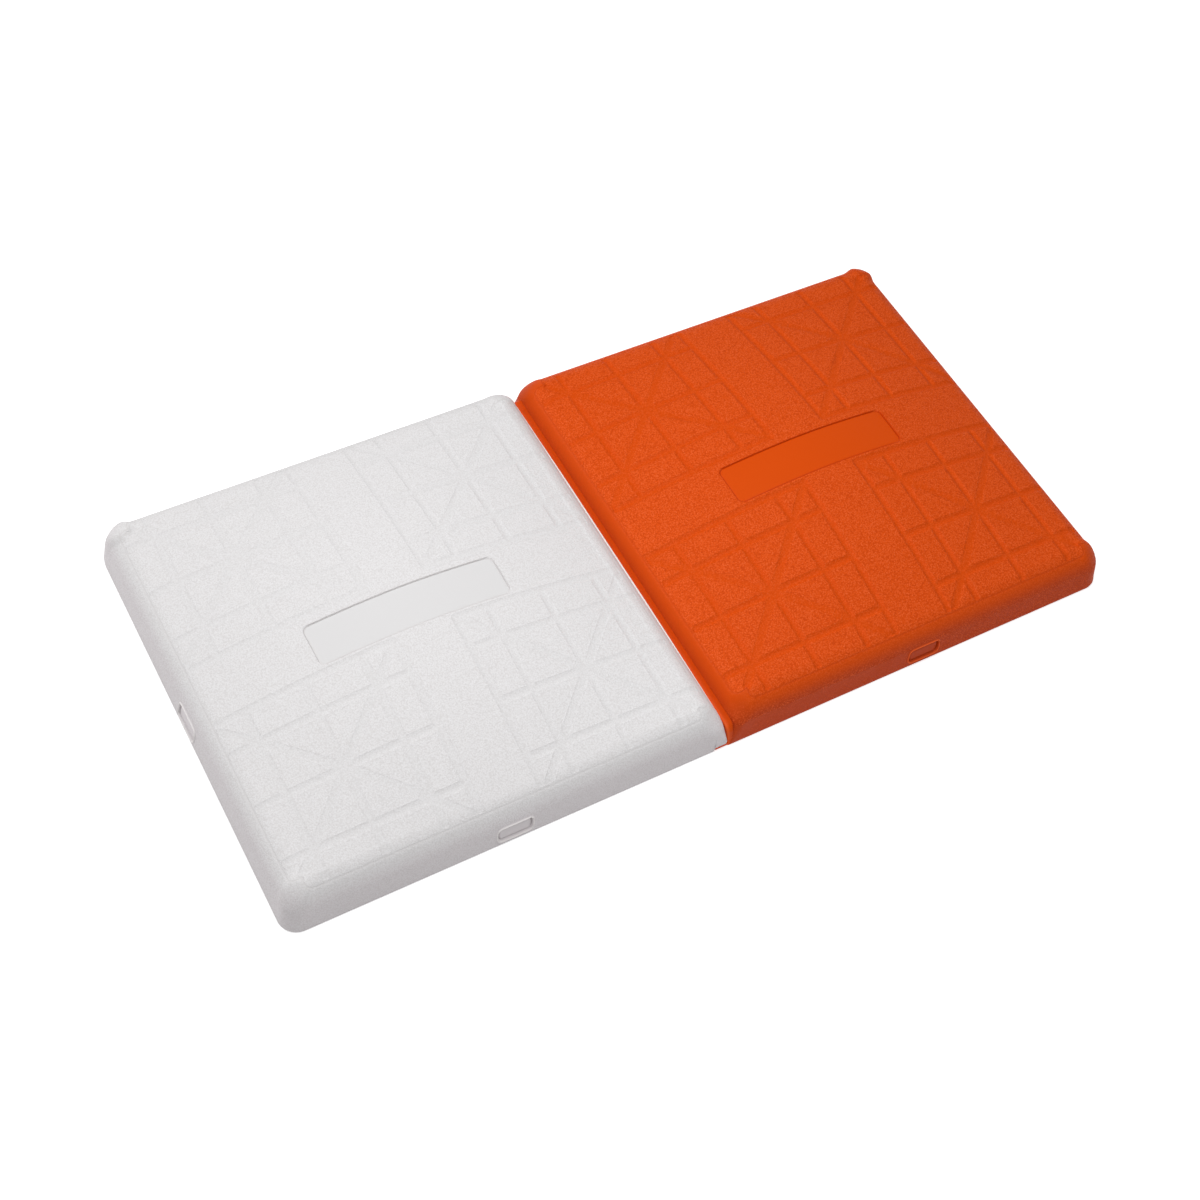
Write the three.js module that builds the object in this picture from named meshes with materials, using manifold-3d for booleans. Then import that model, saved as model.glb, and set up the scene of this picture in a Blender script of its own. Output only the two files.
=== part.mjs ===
// Double first base: a white and an orange moulded half, joined edge to edge.
// Millimetres, +Z up, X along the pair, origin on the ground under the middle of the seam.
import * as THREE from "three";
import { mergeVertices } from "three/addons/utils/BufferGeometryUtils.js";
import Module from "manifold-3d";

const wasm = await Module();
wasm.setup();

// Outer form of one half
const HALF_SIDE = 381; // side of the square at the ground, 15 in
const SEAM_GAP = 0.6; // between the two halves, at the ground
const SHOULDER_HEIGHT = 40; // where the rounded edge runs into the crowned top
const CROWN_RISE = 23.1; // middle of the top above the shoulder
const CROWN_POWER = 1.75; // 2 would make each crown line a parabola
const WALL_DRAFT = 0.18; // inward lean of the outer walls for each millimetre of height
const SEAM_DRAFT = 0.1; // the same for the walls that face each other across the seam
const SHOULDER_RADIUS = 24;
const CORNER_RADIUS = 19; // outer corners in plan, at the ground
const SEAM_CORNER = 3; // corners at the seam
const TOP_CORNER = 18; // all corners in plan, at the shoulder
const CORNER_BLEND = 6; // the corners have come to that radius where the form has drawn in this far
const EAR_RISE = 3; // each top corner stands up above the shoulder by this much
const EAR_RADIUS = 16; // the shoulder is tighter at the ears
const EAR_REACH = 14; // how far an ear runs along the edges

// Tread moulded into the top: a smooth cross and four blocks of grooves
const TREAD_INSET = 13.5; // from the ground outline to where the grooves end
const CROSS_WIDTH = 52.8;
const NARROW_CELL = 28.6; // rows and columns of a block next to the cross
const WIDE_CELL = 48.4; // the two rows and columns beside a block's star
const EAR_CLEAR = 10; // a diagonal stops this much short of the other grooves, before the ear
const GROOVE_WIDTH = 6.4;
const GROOVE_DEPTH = 1;

// Bare name panel sunk into the cross
const PANEL_LENGTH = 160;
const PANEL_WIDTH = 34.5;
const PANEL_CORNER = 6;
const PANEL_DEPTH = 1.2;

// Blind pocket low in the middle of each outer side
const POCKET_LENGTH = 31;
const POCKET_HEIGHT = 12.8;
const POCKET_CORNER = 4;
const POCKET_DEPTH = 3.8;
const POCKET_LOW = 6.3; // lower edge above the ground

// Underside: a steel pan screwed to a ledge inside the cover's rim
const RIM_WIDTH = 14;
const LEDGE_WIDTH = 18;
const PAN_RECESS = 3.2; // pan's lower face above the ground
const PAN_THICKNESS = 2;
const PAN_CORNER = 14;
const BEAD_HEIGHT = 2; // stiffening beads pressed up into the pan
const BEAD_WIDTH = 14;
const BEAD_LENGTH = 96;
const COVER_THICKNESS = 9; // cover over the foam, at the crown
const CAVITY_SHOULDER = 12;

// Ground anchor fixing inside each half
const ANCHOR_SIDE = 120;
const ANCHOR_THICKNESS = 4;
const ANCHOR_CORNER = 8;
const ANCHOR_SPACING = 76; // between bolt holes, both ways
const BOLT_DIAMETER = 10;
const NUT_ACROSS_FLATS = 17;
const NUT_HEIGHT = 8;
const THREAD_BORE = 8.5;

// Screws
const SCREW_DIAMETER = 4.8;
const SCREW_HEAD = 9.5;
const SCREW_HEAD_HEIGHT = 2.4;
const SCREW_LENGTH = 16; // under the head
const JOIN_SCREWS = 5;
const JOIN_SCREW_END = 38.5; // from each end of the seam to the nearest joining screw

// Orange lip that runs under the white half's rim
const LIP_THICKNESS = 4.5;
const LIP_REACH = 12;
const LIP_END_INSET = 4;

// Fits
const SEAT = 0.3; // gap between faces that bear on each other
const HOLE_PLAY = 0.5; // hole wider than the screw or bolt in it, on the radius

// How finely round stretches are divided
const CORNER_STEPS = 3;
const SHOULDER_STEPS = 3;
const ROUND_STEPS = 8;

// Places that follow from the sizes above
const HALF_CENTRE = (HALF_SIDE + SEAM_GAP) / 2;
const PAN_SIDE = HALF_SIDE - 2 * RIM_WIDTH;
const PAN_TOP = PAN_RECESS + PAN_THICKNESS;
const CAVITY_SIDE = PAN_SIDE - 2 * LEDGE_WIDTH;
const LEDGE_CENTRE = (PAN_SIDE - LEDGE_WIDTH) / 2;
const CORE_BOTTOM = PAN_TOP + BEAD_HEIGHT + SEAT;
const ANCHOR_BOTTOM = PAN_TOP + SEAT;
const NUT_BOTTOM = ANCHOR_BOTTOM + ANCHOR_THICKNESS + SEAT;
const JOIN_SCREW_PITCH = (HALF_SIDE - 2 * JOIN_SCREW_END) / (JOIN_SCREWS - 1);
const CUT = 1; // cutting solids run past the faces they open by this much

// Lines of the tread grid, from the middle outwards; the star of a block is centred on the third.
const TREAD_END = HALF_SIDE / 2 - TREAD_INSET;
const TREAD_LINES = [CROSS_WIDTH / 2];
for (const cell of [NARROW_CELL, WIDE_CELL, WIDE_CELL]) TREAD_LINES.push(TREAD_LINES.at(-1) + cell);
const STAR = TREAD_LINES[2];

const CORNERS = [
  [1, 1],
  [-1, 1],
  [-1, -1],
  [1, -1],
];

const WHITE_RUBBER = new THREE.MeshStandardMaterial({ color: 0xe4e4e3, roughness: 0.62 });
const ORANGE_RUBBER = new THREE.MeshStandardMaterial({ color: 0xdc4f16, roughness: 0.6 });
const FOAM = new THREE.MeshStandardMaterial({ color: 0x3b3c3f, roughness: 0.95 });
const GALVANISED = new THREE.MeshStandardMaterial({ color: 0xa5a9ad, roughness: 0.45, metalness: 0.9 });
const DARK_STEEL = new THREE.MeshStandardMaterial({ color: 0x55585c, roughness: 0.5, metalness: 0.9 });
const ZINC = new THREE.MeshStandardMaterial({ color: 0xc4c7c9, roughness: 0.35, metalness: 1 });

// Closed geometry to a solid that can be joined and cut.
function solid(geometry) {
  const bare = geometry.clone();
  bare.deleteAttribute("normal");
  bare.deleteAttribute("uv");
  const merged = mergeVertices(bare, 1e-4);
  const mesh = new wasm.Mesh({
    numProp: 3,
    vertProperties: new Float32Array(merged.attributes.position.array),
    triVerts: new Uint32Array(merged.index.array),
  });
  return new wasm.Manifold(mesh);
}

// Solid back to a geometry with flat faces.
function geometryOf(body) {
  const mesh = body.getMesh();
  const geometry = new THREE.BufferGeometry();
  geometry.setAttribute("position", new THREE.BufferAttribute(mesh.vertProperties, 3));
  geometry.setIndex(new THREE.BufferAttribute(mesh.triVerts, 1));
  geometry.computeVertexNormals();
  return geometry;
}

function box(sizeX, sizeY, low, high) {
  return new THREE.BoxGeometry(sizeX, sizeY, high - low).translate(0, 0, (low + high) / 2);
}

function cylinder(diameter, low, high, sides = ROUND_STEPS) {
  return new THREE.CylinderGeometry(diameter / 2, diameter / 2, high - low, sides)
    .rotateX(Math.PI / 2)
    .translate(0, 0, (low + high) / 2);
}

// Rectangle with rounded corners, centred on the origin.
function roundedShape(length, width, radius) {
  const x = length / 2 - radius;
  const y = width / 2 - radius;
  const shape = new THREE.Shape();
  shape.absarc(x, y, radius, 0, Math.PI / 2);
  shape.absarc(-x, y, radius, Math.PI / 2, Math.PI);
  shape.absarc(-x, -y, radius, Math.PI, 1.5 * Math.PI);
  shape.absarc(x, -y, radius, 1.5 * Math.PI, 2 * Math.PI);
  return shape;
}

function plate(length, width, radius, low, high) {
  const options = { depth: high - low, bevelEnabled: false, curveSegments: 3 };
  return new THREE.ExtrudeGeometry(roundedShape(length, width, radius), options).translate(0, 0, low);
}

// Outline of a square with one ground radius for each corner, and points where the lines meet its sides.
// Each point has its outward normal, its ear weight (1 in the middle of a corner, 0 along the sides) and
// its place when the form has drawn in by an inset, on which the corners go over to the top radius.
function outline(side, radii, topRadius, lines) {
  const corner = CORNERS.map(([sx, sy]) => new THREE.Vector2(sx, sy));
  const tips = radii.map((r, k) => corner[k].clone().multiplyScalar(side / 2 - r * (1 - Math.SQRT1_2)));
  const points = [];
  const add = (normal, at) => {
    const weights = tips.map((tip) => Math.exp(-((at(0).distanceTo(tip) / EAR_REACH) ** 2)));
    points.push({ normal, at, ear: Math.max(...weights) });
  };
  radii.forEach((radius, k) => {
    const start = (k * Math.PI) / 2;
    for (let i = 0; i <= CORNER_STEPS; i++) {
      const angle = start + (i / CORNER_STEPS) * (Math.PI / 2);
      const normal = new THREE.Vector2(Math.cos(angle), Math.sin(angle));
      add(normal, (inset) => {
        const r = THREE.MathUtils.lerp(radius, topRadius, Math.min(1, inset / CORNER_BLEND));
        return corner[k].clone().multiplyScalar(side / 2 - inset - r).addScaledVector(normal, r);
      });
    }
    const normal = new THREE.Vector2(0, 1).rotateAround(new THREE.Vector2(), start);
    const along = new THREE.Vector2(-normal.y, normal.x);
    for (const run of lines) {
      add(normal, (inset) => normal.clone().multiplyScalar(side / 2 - inset).addScaledVector(along, run));
    }
  });
  return points;
}

// Crowned block: drafted walls that run smoothly into a rounded shoulder, and a top that rises as
// (1 - |x/a|^p)(1 - |y/a|^p) from the shoulder to the crown, with ears if asked for.
// seam is +1 or -1 when the wall on that side of X faces the other half, 0 when none does.
function moulding({ side, radii, topRadius, seam, bottom, shoulder, shoulderRadius, rise, ears, gridLines }) {
  const lines = [...gridLines.map((d) => -d).reverse(), 0, ...gridLines];
  const edgeSlope = Math.atan((rise * CROWN_POWER) / (side / 2 - shoulderRadius));
  const sweep = Math.PI / 2 - edgeSlope;
  const profile = (weight, facing) => {
    const draft = THREE.MathUtils.lerp(WALL_DRAFT, SEAM_DRAFT, Math.max(0, facing) ** 2);
    const lean = Math.atan(draft);
    const r = ears ? THREE.MathUtils.lerp(shoulderRadius, EAR_RADIUS, weight) : shoulderRadius;
    const edge = shoulder + (ears ? EAR_RISE * weight : 0);
    const wallTop = edge - r * (Math.sin(sweep) - Math.sin(lean));
    const rows = [{ inset: 0, z: bottom }];
    for (let i = 0; i <= SHOULDER_STEPS; i++) {
      const angle = THREE.MathUtils.lerp(lean, sweep, i / SHOULDER_STEPS);
      const inset = draft * (wallTop - bottom) + r * (Math.cos(lean) - Math.cos(angle));
      rows.push({ inset, z: wallTop + r * (Math.sin(angle) - Math.sin(lean)) });
    }
    return rows;
  };
  const ring = outline(side, radii, topRadius, lines);
  const levels = profile(0, 0).length;
  const reach = side / 2 - profile(0, 0).at(-1).inset;
  const fall = (d) => 1 - Math.min(Math.abs(d) / reach, 1) ** CROWN_POWER;
  const vertices = [new THREE.Vector3(0, 0, bottom)];
  for (let level = 0; level < levels; level++) {
    for (const point of ring) {
      const row = profile(point.ear, seam * point.normal.x)[level];
      const at = point.at(row.inset);
      vertices.push(new THREE.Vector3(at.x, at.y, row.z));
    }
  }
  const gridStart = vertices.length;
  for (const y of lines) {
    for (const x of lines) vertices.push(new THREE.Vector3(x, y, shoulder + rise * fall(x) * fall(y)));
  }
  const walls = wallFaces(ring.length, levels);
  const top = topFaces(lines, ring.length, levels, gridStart, vertices);
  return new THREE.BufferGeometry().setFromPoints(vertices).setIndex([...walls, ...top]);
}

// Fan under the bottom ring, then a band of faces from each ring to the next.
// Vertex 0 is the bottom's middle.
function wallFaces(count, levels) {
  const index = [];
  const id = (level, i) => 1 + level * count + (i % count);
  for (let i = 0; i < count; i++) {
    index.push(0, id(0, i + 1), id(0, i));
    for (let level = 0; level + 1 < levels; level++) {
      index.push(id(level, i), id(level, i + 1), id(level + 1, i + 1));
      index.push(id(level, i), id(level + 1, i + 1), id(level + 1, i));
    }
  }
  return index;
}

// Faces of the crowned top: square cells between the lines, split along the tread's diagonals,
// and a fan from the outermost crossing to each rounded corner.
function topFaces(lines, count, levels, gridStart, vertices) {
  const n = lines.length;
  const edgeStart = 1 + (levels - 1) * count;
  const arc = CORNER_STEPS + 1;
  const onSide = (k, i) => edgeStart + k * (arc + n) + arc + i;
  const id = (ix, iy) => {
    if (iy === n) return onSide(0, n - 1 - ix);
    if (ix === -1) return onSide(1, n - 1 - iy);
    if (iy === -1) return onSide(2, ix);
    if (ix === n) return onSide(3, iy);
    return gridStart + iy * n + ix;
  };
  const outside = (i) => i === -1 || i === n - 1;
  const index = [];
  for (let iy = -1; iy < n; iy++) {
    for (let ix = -1; ix < n; ix++) {
      if (outside(ix) && outside(iy)) continue;
      const [a, b, c, d] = [id(ix, iy), id(ix + 1, iy), id(ix + 1, iy + 1), id(ix, iy + 1)];
      const middle = vertices[a].clone().add(vertices[c]).multiplyScalar(0.5);
      const rising = middle.x * middle.y * (Math.abs(middle.x) - STAR) * (Math.abs(middle.y) - STAR) > 0;
      if (rising) index.push(a, b, c, a, c, d);
      else index.push(a, b, d, b, c, d);
    }
  }
  const crossings = [id(n - 1, n - 1), id(0, n - 1), id(0, 0), id(n - 1, 0)];
  crossings.forEach((crossing, k) => {
    const first = onSide((k + 3) % 4, n - 1);
    const run = [first];
    for (let i = 0; i <= arc; i++) run.push(edgeStart + k * (arc + n) + i);
    for (let i = 0; i + 1 < run.length; i++) index.push(crossing, run[i], run[i + 1]);
  });
  return index;
}

// Outer form of a cover; seam is +1 when its neighbour is on +X, -1 when it is on -X.
function coverForm(seam) {
  return {
    side: HALF_SIDE,
    radii: CORNERS.map(([sx]) => (sx === seam ? SEAM_CORNER : CORNER_RADIUS)),
    topRadius: TOP_CORNER,
    seam,
    bottom: 0,
    shoulder: SHOULDER_HEIGHT,
    shoulderRadius: SHOULDER_RADIUS,
    rise: CROWN_RISE,
    ears: true,
    gridLines: TREAD_LINES,
  };
}

// Space for the foam, or the foam itself when it is drawn in by the seat gap.
function cavityForm(gap) {
  return {
    side: CAVITY_SIDE - 2 * gap,
    radii: CORNERS.map(() => PAN_CORNER - gap),
    topRadius: PAN_CORNER - gap,
    seam: 0,
    bottom: PAN_RECESS,
    shoulder: SHOULDER_HEIGHT - COVER_THICKNESS - gap,
    shoulderRadius: CAVITY_SHOULDER - gap,
    rise: CROWN_RISE,
    ears: false,
    gridLines: [STAR],
  };
}

// Straight bars in plan: the grid lines, broken at the cross, and two diagonals through each block's star.
function treadBars() {
  const cross = TREAD_LINES[0];
  const tall = SHOULDER_HEIGHT + CROWN_RISE + CUT;
  const bar = (fromX, fromY, toX, toY) => {
    const length = Math.hypot(toX - fromX, toY - fromY);
    return box(length, GROOVE_WIDTH, 0, tall)
      .rotateZ(Math.atan2(toY - fromY, toX - fromX))
      .translate((fromX + toX) / 2, (fromY + toY) / 2, 0);
  };
  const start = cross - GROOVE_WIDTH / 2;
  const far = 2 * STAR - TREAD_END;
  const tip = TREAD_END - EAR_CLEAR;
  const bars = [];
  for (const [sx, sy] of CORNERS) {
    for (const line of TREAD_LINES) {
      bars.push(bar(sx * line, sy * start, sx * line, sy * TREAD_END));
      bars.push(bar(sx * start, sy * line, sx * TREAD_END, sy * line));
    }
    bars.push(bar(sx * cross, sy * cross, sx * tip, sy * tip));
    bars.push(bar(sx * far, sy * TREAD_END, sx * TREAD_END, sy * far));
  }
  return bars.map(solid).reduce((all, one) => all.add(one));
}

// What a shallow recess of the given plan takes away: the part above the crown lowered by its depth.
function aboveLoweredCrown(plan, depth, seam) {
  return plan.subtract(solid(moulding(coverForm(seam))).translate(0, 0, -depth));
}

function namePanel(seam) {
  const tall = SHOULDER_HEIGHT + CROWN_RISE + CUT;
  const plan = plate(PANEL_LENGTH, PANEL_WIDTH, PANEL_CORNER, 0, tall);
  return aboveLoweredCrown(solid(plan), PANEL_DEPTH, seam);
}

// Blind pocket in the wall that faces +X, before it is turned to its side.
function sidePocket() {
  const middle = POCKET_LOW + POCKET_HEIGHT / 2;
  const face = HALF_SIDE / 2 - WALL_DRAFT * middle;
  return plate(POCKET_LENGTH, POCKET_HEIGHT, POCKET_CORNER, -POCKET_DEPTH, POCKET_DEPTH)
    .rotateX(Math.PI / 2)
    .rotateZ(Math.PI / 2)
    .rotateY(-Math.atan(WALL_DRAFT))
    .translate(face, 0, middle);
}

function panScrewPlaces() {
  const places = [];
  for (const x of [-1, 0, 1]) {
    for (const y of [-1, 0, 1]) {
      if (x || y) places.push([x * LEDGE_CENTRE, y * LEDGE_CENTRE]);
    }
  }
  return places;
}

function anchorHolePlaces() {
  return CORNERS.map(([sx, sy]) => [(sx * ANCHOR_SPACING) / 2, (sy * ANCHOR_SPACING) / 2]);
}

// Joining screws stand in a row along the seam; places are in the whole base's frame.
function joinScrewPlaces() {
  const x = -(SEAM_GAP + LIP_REACH) / 2;
  return Array.from({ length: JOIN_SCREWS }, (_, i) => [x, (i - (JOIN_SCREWS - 1) / 2) * JOIN_SCREW_PITCH]);
}

function drill(body, places, diameter, low, high) {
  const hole = (x, y) => solid(cylinder(diameter, low, high).translate(x, y, 0));
  return places.reduce((left, [x, y]) => left.subtract(hole(x, y)), body);
}

// Moulded cover of one half; seam is +1 when its neighbour is on +X.
function cover(seam) {
  let body = solid(moulding(coverForm(seam)));
  body = body.subtract(aboveLoweredCrown(treadBars(), GROOVE_DEPTH, seam));
  body = body.subtract(namePanel(seam));
  for (const turn of [0, 1, 2, 3]) {
    const facesSeam = turn === (seam > 0 ? 0 : 2);
    if (!facesSeam) body = body.subtract(solid(sidePocket().rotateZ((turn * Math.PI) / 2)));
  }
  const panSpace = PAN_SIDE + 2 * SEAT;
  body = body.subtract(solid(plate(panSpace, panSpace, PAN_CORNER + SEAT, -CUT, PAN_TOP + SEAT)));
  body = body.subtract(solid(moulding(cavityForm(0))));
  const holeTop = PAN_RECESS + SCREW_LENGTH + HOLE_PLAY;
  return drill(body, panScrewPlaces(), SCREW_DIAMETER + 2 * HOLE_PLAY, 0, holeTop);
}

// White cover, with a rebate along the seam for the orange lip and its screws.
function whiteCover() {
  const rebate = box(LIP_REACH + SEAT + CUT, HALF_SIDE + 2 * CUT, -CUT, LIP_THICKNESS + SEAT);
  const lipEdge = -SEAM_GAP / 2 - LIP_REACH - SEAT;
  rebate.translate(lipEdge + (LIP_REACH + SEAT + CUT) / 2, 0, 0);
  const body = cover(1).translate(-HALF_CENTRE, 0, 0).subtract(solid(rebate));
  const holeTop = LIP_THICKNESS + SCREW_LENGTH;
  return drill(body, joinScrewPlaces(), SCREW_DIAMETER + 2 * HOLE_PLAY, 0, holeTop);
}

// Orange cover, with the lip that its seam side sends out along the ground.
function orangeCover() {
  const inner = SEAM_GAP / 2 + RIM_WIDTH;
  const outer = -SEAM_GAP / 2 - LIP_REACH;
  const lip = box(inner - outer, HALF_SIDE - 2 * LIP_END_INSET, 0, LIP_THICKNESS);
  lip.translate((inner + outer) / 2, 0, 0);
  const panSpace = PAN_SIDE + 2 * SEAT;
  const panRoom = plate(panSpace, panSpace, PAN_CORNER + SEAT, -CUT, PAN_TOP + SEAT);
  const lipSolid = solid(lip).subtract(solid(panRoom.translate(HALF_CENTRE, 0, 0)));
  let body = cover(-1).translate(HALF_CENTRE, 0, 0).add(lipSolid);
  body = drill(body, joinScrewPlaces(), SCREW_DIAMETER + 2 * HOLE_PLAY, -CUT, LIP_THICKNESS + CUT);
  const sink = SCREW_HEAD_HEIGHT + 2 * SEAT;
  return drill(body, joinScrewPlaces(), SCREW_HEAD + 2 * HOLE_PLAY, -CUT, sink);
}

function core() {
  const room = ANCHOR_SIDE + 2 * SEAT;
  const roomTop = NUT_BOTTOM + NUT_HEIGHT + SEAT;
  const pocket = plate(room, room, ANCHOR_CORNER, CORE_BOTTOM - CUT, roomTop);
  const below = box(CAVITY_SIDE, CAVITY_SIDE, 0, CORE_BOTTOM);
  return solid(moulding(cavityForm(SEAT))).subtract(solid(below)).subtract(solid(pocket));
}

// Long half-round bead along a diagonal: a capsule flattened to the bead's height.
function bead(turn, width, level) {
  const reach = (ANCHOR_SIDE * Math.SQRT2) / 2 + BEAD_WIDTH + BEAD_LENGTH / 2;
  return new THREE.CapsuleGeometry(width / 2, BEAD_LENGTH, 2, 6)
    .rotateZ(-Math.PI / 2)
    .scale(1, 1, (2 * BEAD_HEIGHT) / width)
    .translate(reach, 0, level)
    .rotateZ(Math.PI / 4 + (turn * Math.PI) / 2);
}

function pan() {
  let body = solid(plate(PAN_SIDE, PAN_SIDE, PAN_CORNER, PAN_RECESS, PAN_TOP));
  for (const turn of [0, 1, 2, 3]) {
    body = body.add(solid(bead(turn, BEAD_WIDTH, PAN_TOP)));
    body = body.subtract(solid(bead(turn, BEAD_WIDTH - PAN_THICKNESS, PAN_RECESS)));
  }
  body = drill(body, panScrewPlaces(), SCREW_DIAMETER + 2 * HOLE_PLAY, 0, PAN_TOP + CUT);
  return drill(body, anchorHolePlaces(), BOLT_DIAMETER + 2 * HOLE_PLAY, 0, PAN_TOP + CUT);
}

function anchorPlate() {
  const top = ANCHOR_BOTTOM + ANCHOR_THICKNESS;
  const body = solid(plate(ANCHOR_SIDE, ANCHOR_SIDE, ANCHOR_CORNER, ANCHOR_BOTTOM, top));
  return drill(body, anchorHolePlaces(), BOLT_DIAMETER + 2 * HOLE_PLAY, 0, top + CUT);
}

function weldNut() {
  const acrossCorners = NUT_ACROSS_FLATS / Math.cos(Math.PI / 6);
  const body = solid(cylinder(acrossCorners, 0, NUT_HEIGHT, 6));
  return drill(body, [[0, 0]], THREAD_BORE, -CUT, NUT_HEIGHT + CUT);
}

// Pan-head screw, point up, with the underside of its head at z = 0.
function screw() {
  const r = SCREW_DIAMETER / 2;
  const head = SCREW_HEAD / 2;
  const profile = [
    [0, -SCREW_HEAD_HEIGHT],
    [head * 0.8, -SCREW_HEAD_HEIGHT * 0.8],
    [head, 0],
    [r, 0],
    [r, SCREW_LENGTH - SCREW_DIAMETER],
    [0, SCREW_LENGTH],
  ];
  const points = profile.map(([radius, z]) => new THREE.Vector2(radius, z));
  return new THREE.LatheGeometry(points, 8).rotateX(Math.PI / 2);
}

const base = new THREE.Group();

function place(name, body, material, x = 0, y = 0, z = 0) {
  const geometry = body.isBufferGeometry ? body : geometryOf(body);
  const mesh = new THREE.Mesh(geometry, material.clone());
  mesh.name = name;
  mesh.position.set(x, y, z);
  base.add(mesh);
}

for (const [half, side] of [
  ["white", -1],
  ["orange", 1],
]) {
  const centre = side * HALF_CENTRE;
  if (side < 0) place("white_cover", whiteCover(), WHITE_RUBBER);
  else place("orange_cover", orangeCover(), ORANGE_RUBBER);
  place(half + "_core", core(), FOAM, centre);
  place(half + "_pan", pan(), GALVANISED, centre);
  place(half + "_anchor_plate", anchorPlate(), DARK_STEEL, centre);
  anchorHolePlaces().forEach(([x, y], i) => {
    place(half + "_anchor_nut_" + (i + 1), weldNut(), ZINC, centre + x, y, NUT_BOTTOM);
  });
  panScrewPlaces().forEach(([x, y], i) => {
    place(half + "_pan_screw_" + (i + 1), screw(), ZINC, centre + x, y, PAN_RECESS - SEAT);
  });
}

joinScrewPlaces().forEach(([x, y], i) => {
  place("join_screw_" + (i + 1), screw(), ZINC, x, y, SCREW_HEAD_HEIGHT + SEAT);
});

export default base;
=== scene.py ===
import math

import bpy
import numpy as np
from mathutils import Matrix


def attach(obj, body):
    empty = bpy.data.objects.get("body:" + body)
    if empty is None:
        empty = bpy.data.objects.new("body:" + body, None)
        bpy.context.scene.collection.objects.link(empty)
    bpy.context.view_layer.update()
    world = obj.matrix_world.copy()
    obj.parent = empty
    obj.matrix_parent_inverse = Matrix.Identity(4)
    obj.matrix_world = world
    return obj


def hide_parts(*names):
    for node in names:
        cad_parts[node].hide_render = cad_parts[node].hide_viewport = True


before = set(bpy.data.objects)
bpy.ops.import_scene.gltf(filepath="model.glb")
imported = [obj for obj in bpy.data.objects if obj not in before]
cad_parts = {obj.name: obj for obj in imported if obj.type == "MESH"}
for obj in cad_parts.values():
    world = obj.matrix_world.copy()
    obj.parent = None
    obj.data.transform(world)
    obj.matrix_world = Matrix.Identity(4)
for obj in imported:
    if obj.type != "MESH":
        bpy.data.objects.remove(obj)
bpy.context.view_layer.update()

MM = 0.001

# Rubber halves, in millimetres, with the main sizes of the solids
HALF_SIDE = 381.0
HALF_CENTRE = 190.8
SHOULDER_HEIGHT = 40.0
CROWN_RISE = 23.1
CROWN_POWER = 1.75
WALL_DRAFT = 0.18
SEAM_DRAFT = 0.1
SHOULDER_RADIUS = 24.0
CORNER_RADIUS = 27.0  # plan corners above the rim; at the ground each corner has its own
FRONT_CORNER = 15.5
BACK_CORNER = 22.5
SEAM_CORNER = 3.0
ORANGE_BACK_CORNER = 16.0
CORNER_BLEND = 8.0
EAR_PLACE = 175.0  # middle of each round ear, both ways from the half's middle
EAR_RADIUS = 15.0
EAR_CROWN = 0.45  # share of the ear's radius that stands at its full rise
FRONT_EAR_RISE = 2.2
BACK_EAR_RISE = 3.2
SEAM_EAR_SHARE = 0.4
EAR_REACH = 14.0  # how far an ear lifts the crease along the edges
COVER_THICKNESS = 9.0
CAVITY_SIDE = 317.0
CAVITY_SHOULDER = 12.0
SEAT = 0.3

CORNER_CENTRE = HALF_SIDE / 2 - CORNER_RADIUS
SWEEP = math.pi / 2 - math.atan(CROWN_RISE * CROWN_POWER / (HALF_SIDE / 2 - SHOULDER_RADIUS))
LEAN = math.atan(WALL_DRAFT)
WALL_TOP = SHOULDER_HEIGHT - SHOULDER_RADIUS * (math.sin(SWEEP) - math.sin(LEAN))
CROWN_REACH = HALF_SIDE / 2 - WALL_DRAFT * WALL_TOP - SHOULDER_RADIUS * (math.cos(LEAN) - math.cos(SWEEP))

# Tread, name panel and pockets
TREAD_LINES = (26.4, 55.0, 103.4, 151.8)
TREAD_END = 180.4
DIAGONAL_END = 167.0
STAR = 103.4
WHITE_GROOVE_DEPTH = 0.45
ORANGE_GROOVE_DEPTH = 1.2
GROOVE_FLOOR = 0.5  # a channel's half width at its floor and at the pads
GROOVE_TOP = 3.7
PANEL_HALF_LENGTH = 83.3
PANEL_HALF_WIDTH = 19.3
PANEL_MIDDLE = (-2.4, -1.7)
PANEL_CORNER = 6.0
PANEL_DEPTH = 1.0
PANEL_WALL = 0.7
MOAT_DEPTH = 0.4
MOAT_WIDTH = 0.5
POCKET_HALF_LENGTH = 14.8
POCKET_HALF_HEIGHT = 7.0
POCKET_MIDDLE = 12.8
POCKET_SHIFT = -0.8
POCKET_CORNER = 3.8
POCKET_DEPTH = 0.7
POCKET_WALL = 0.4
POCKET_SLOT = 2.4
POCKET_SLOT_AT = 0.7
POCKET_SLOT_WIDTH = 0.4
POCKET_BEAD = 1.0
POCKET_BEAD_SPAN = 1.5

# Crease on the shoulder where the grained tread ends, as a share of the shoulder's sweep
CREASE_AT = 0.67
EAR_CREASE_AT = 0.97
CREASE_DEPTH = 0.18
CREASE_WIDTH = 0.75
CREASE_RIDGE = 0.3
CREASE_RIDGE_AT = 1.8
CREASE_RIDGE_WIDTH = 0.8

# Strip and bead along the seam
FLANGE_TOP = 21.5
FLANGE_SETBACK = 0.5
FLANGE_WIDTH = 3.2
FLANGE_BACK_SHARE = 0.95
SEAM_BEAD = 1.05
BEAD_ANGLE = math.radians(27)
BEAD_REACH = 172.0

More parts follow.
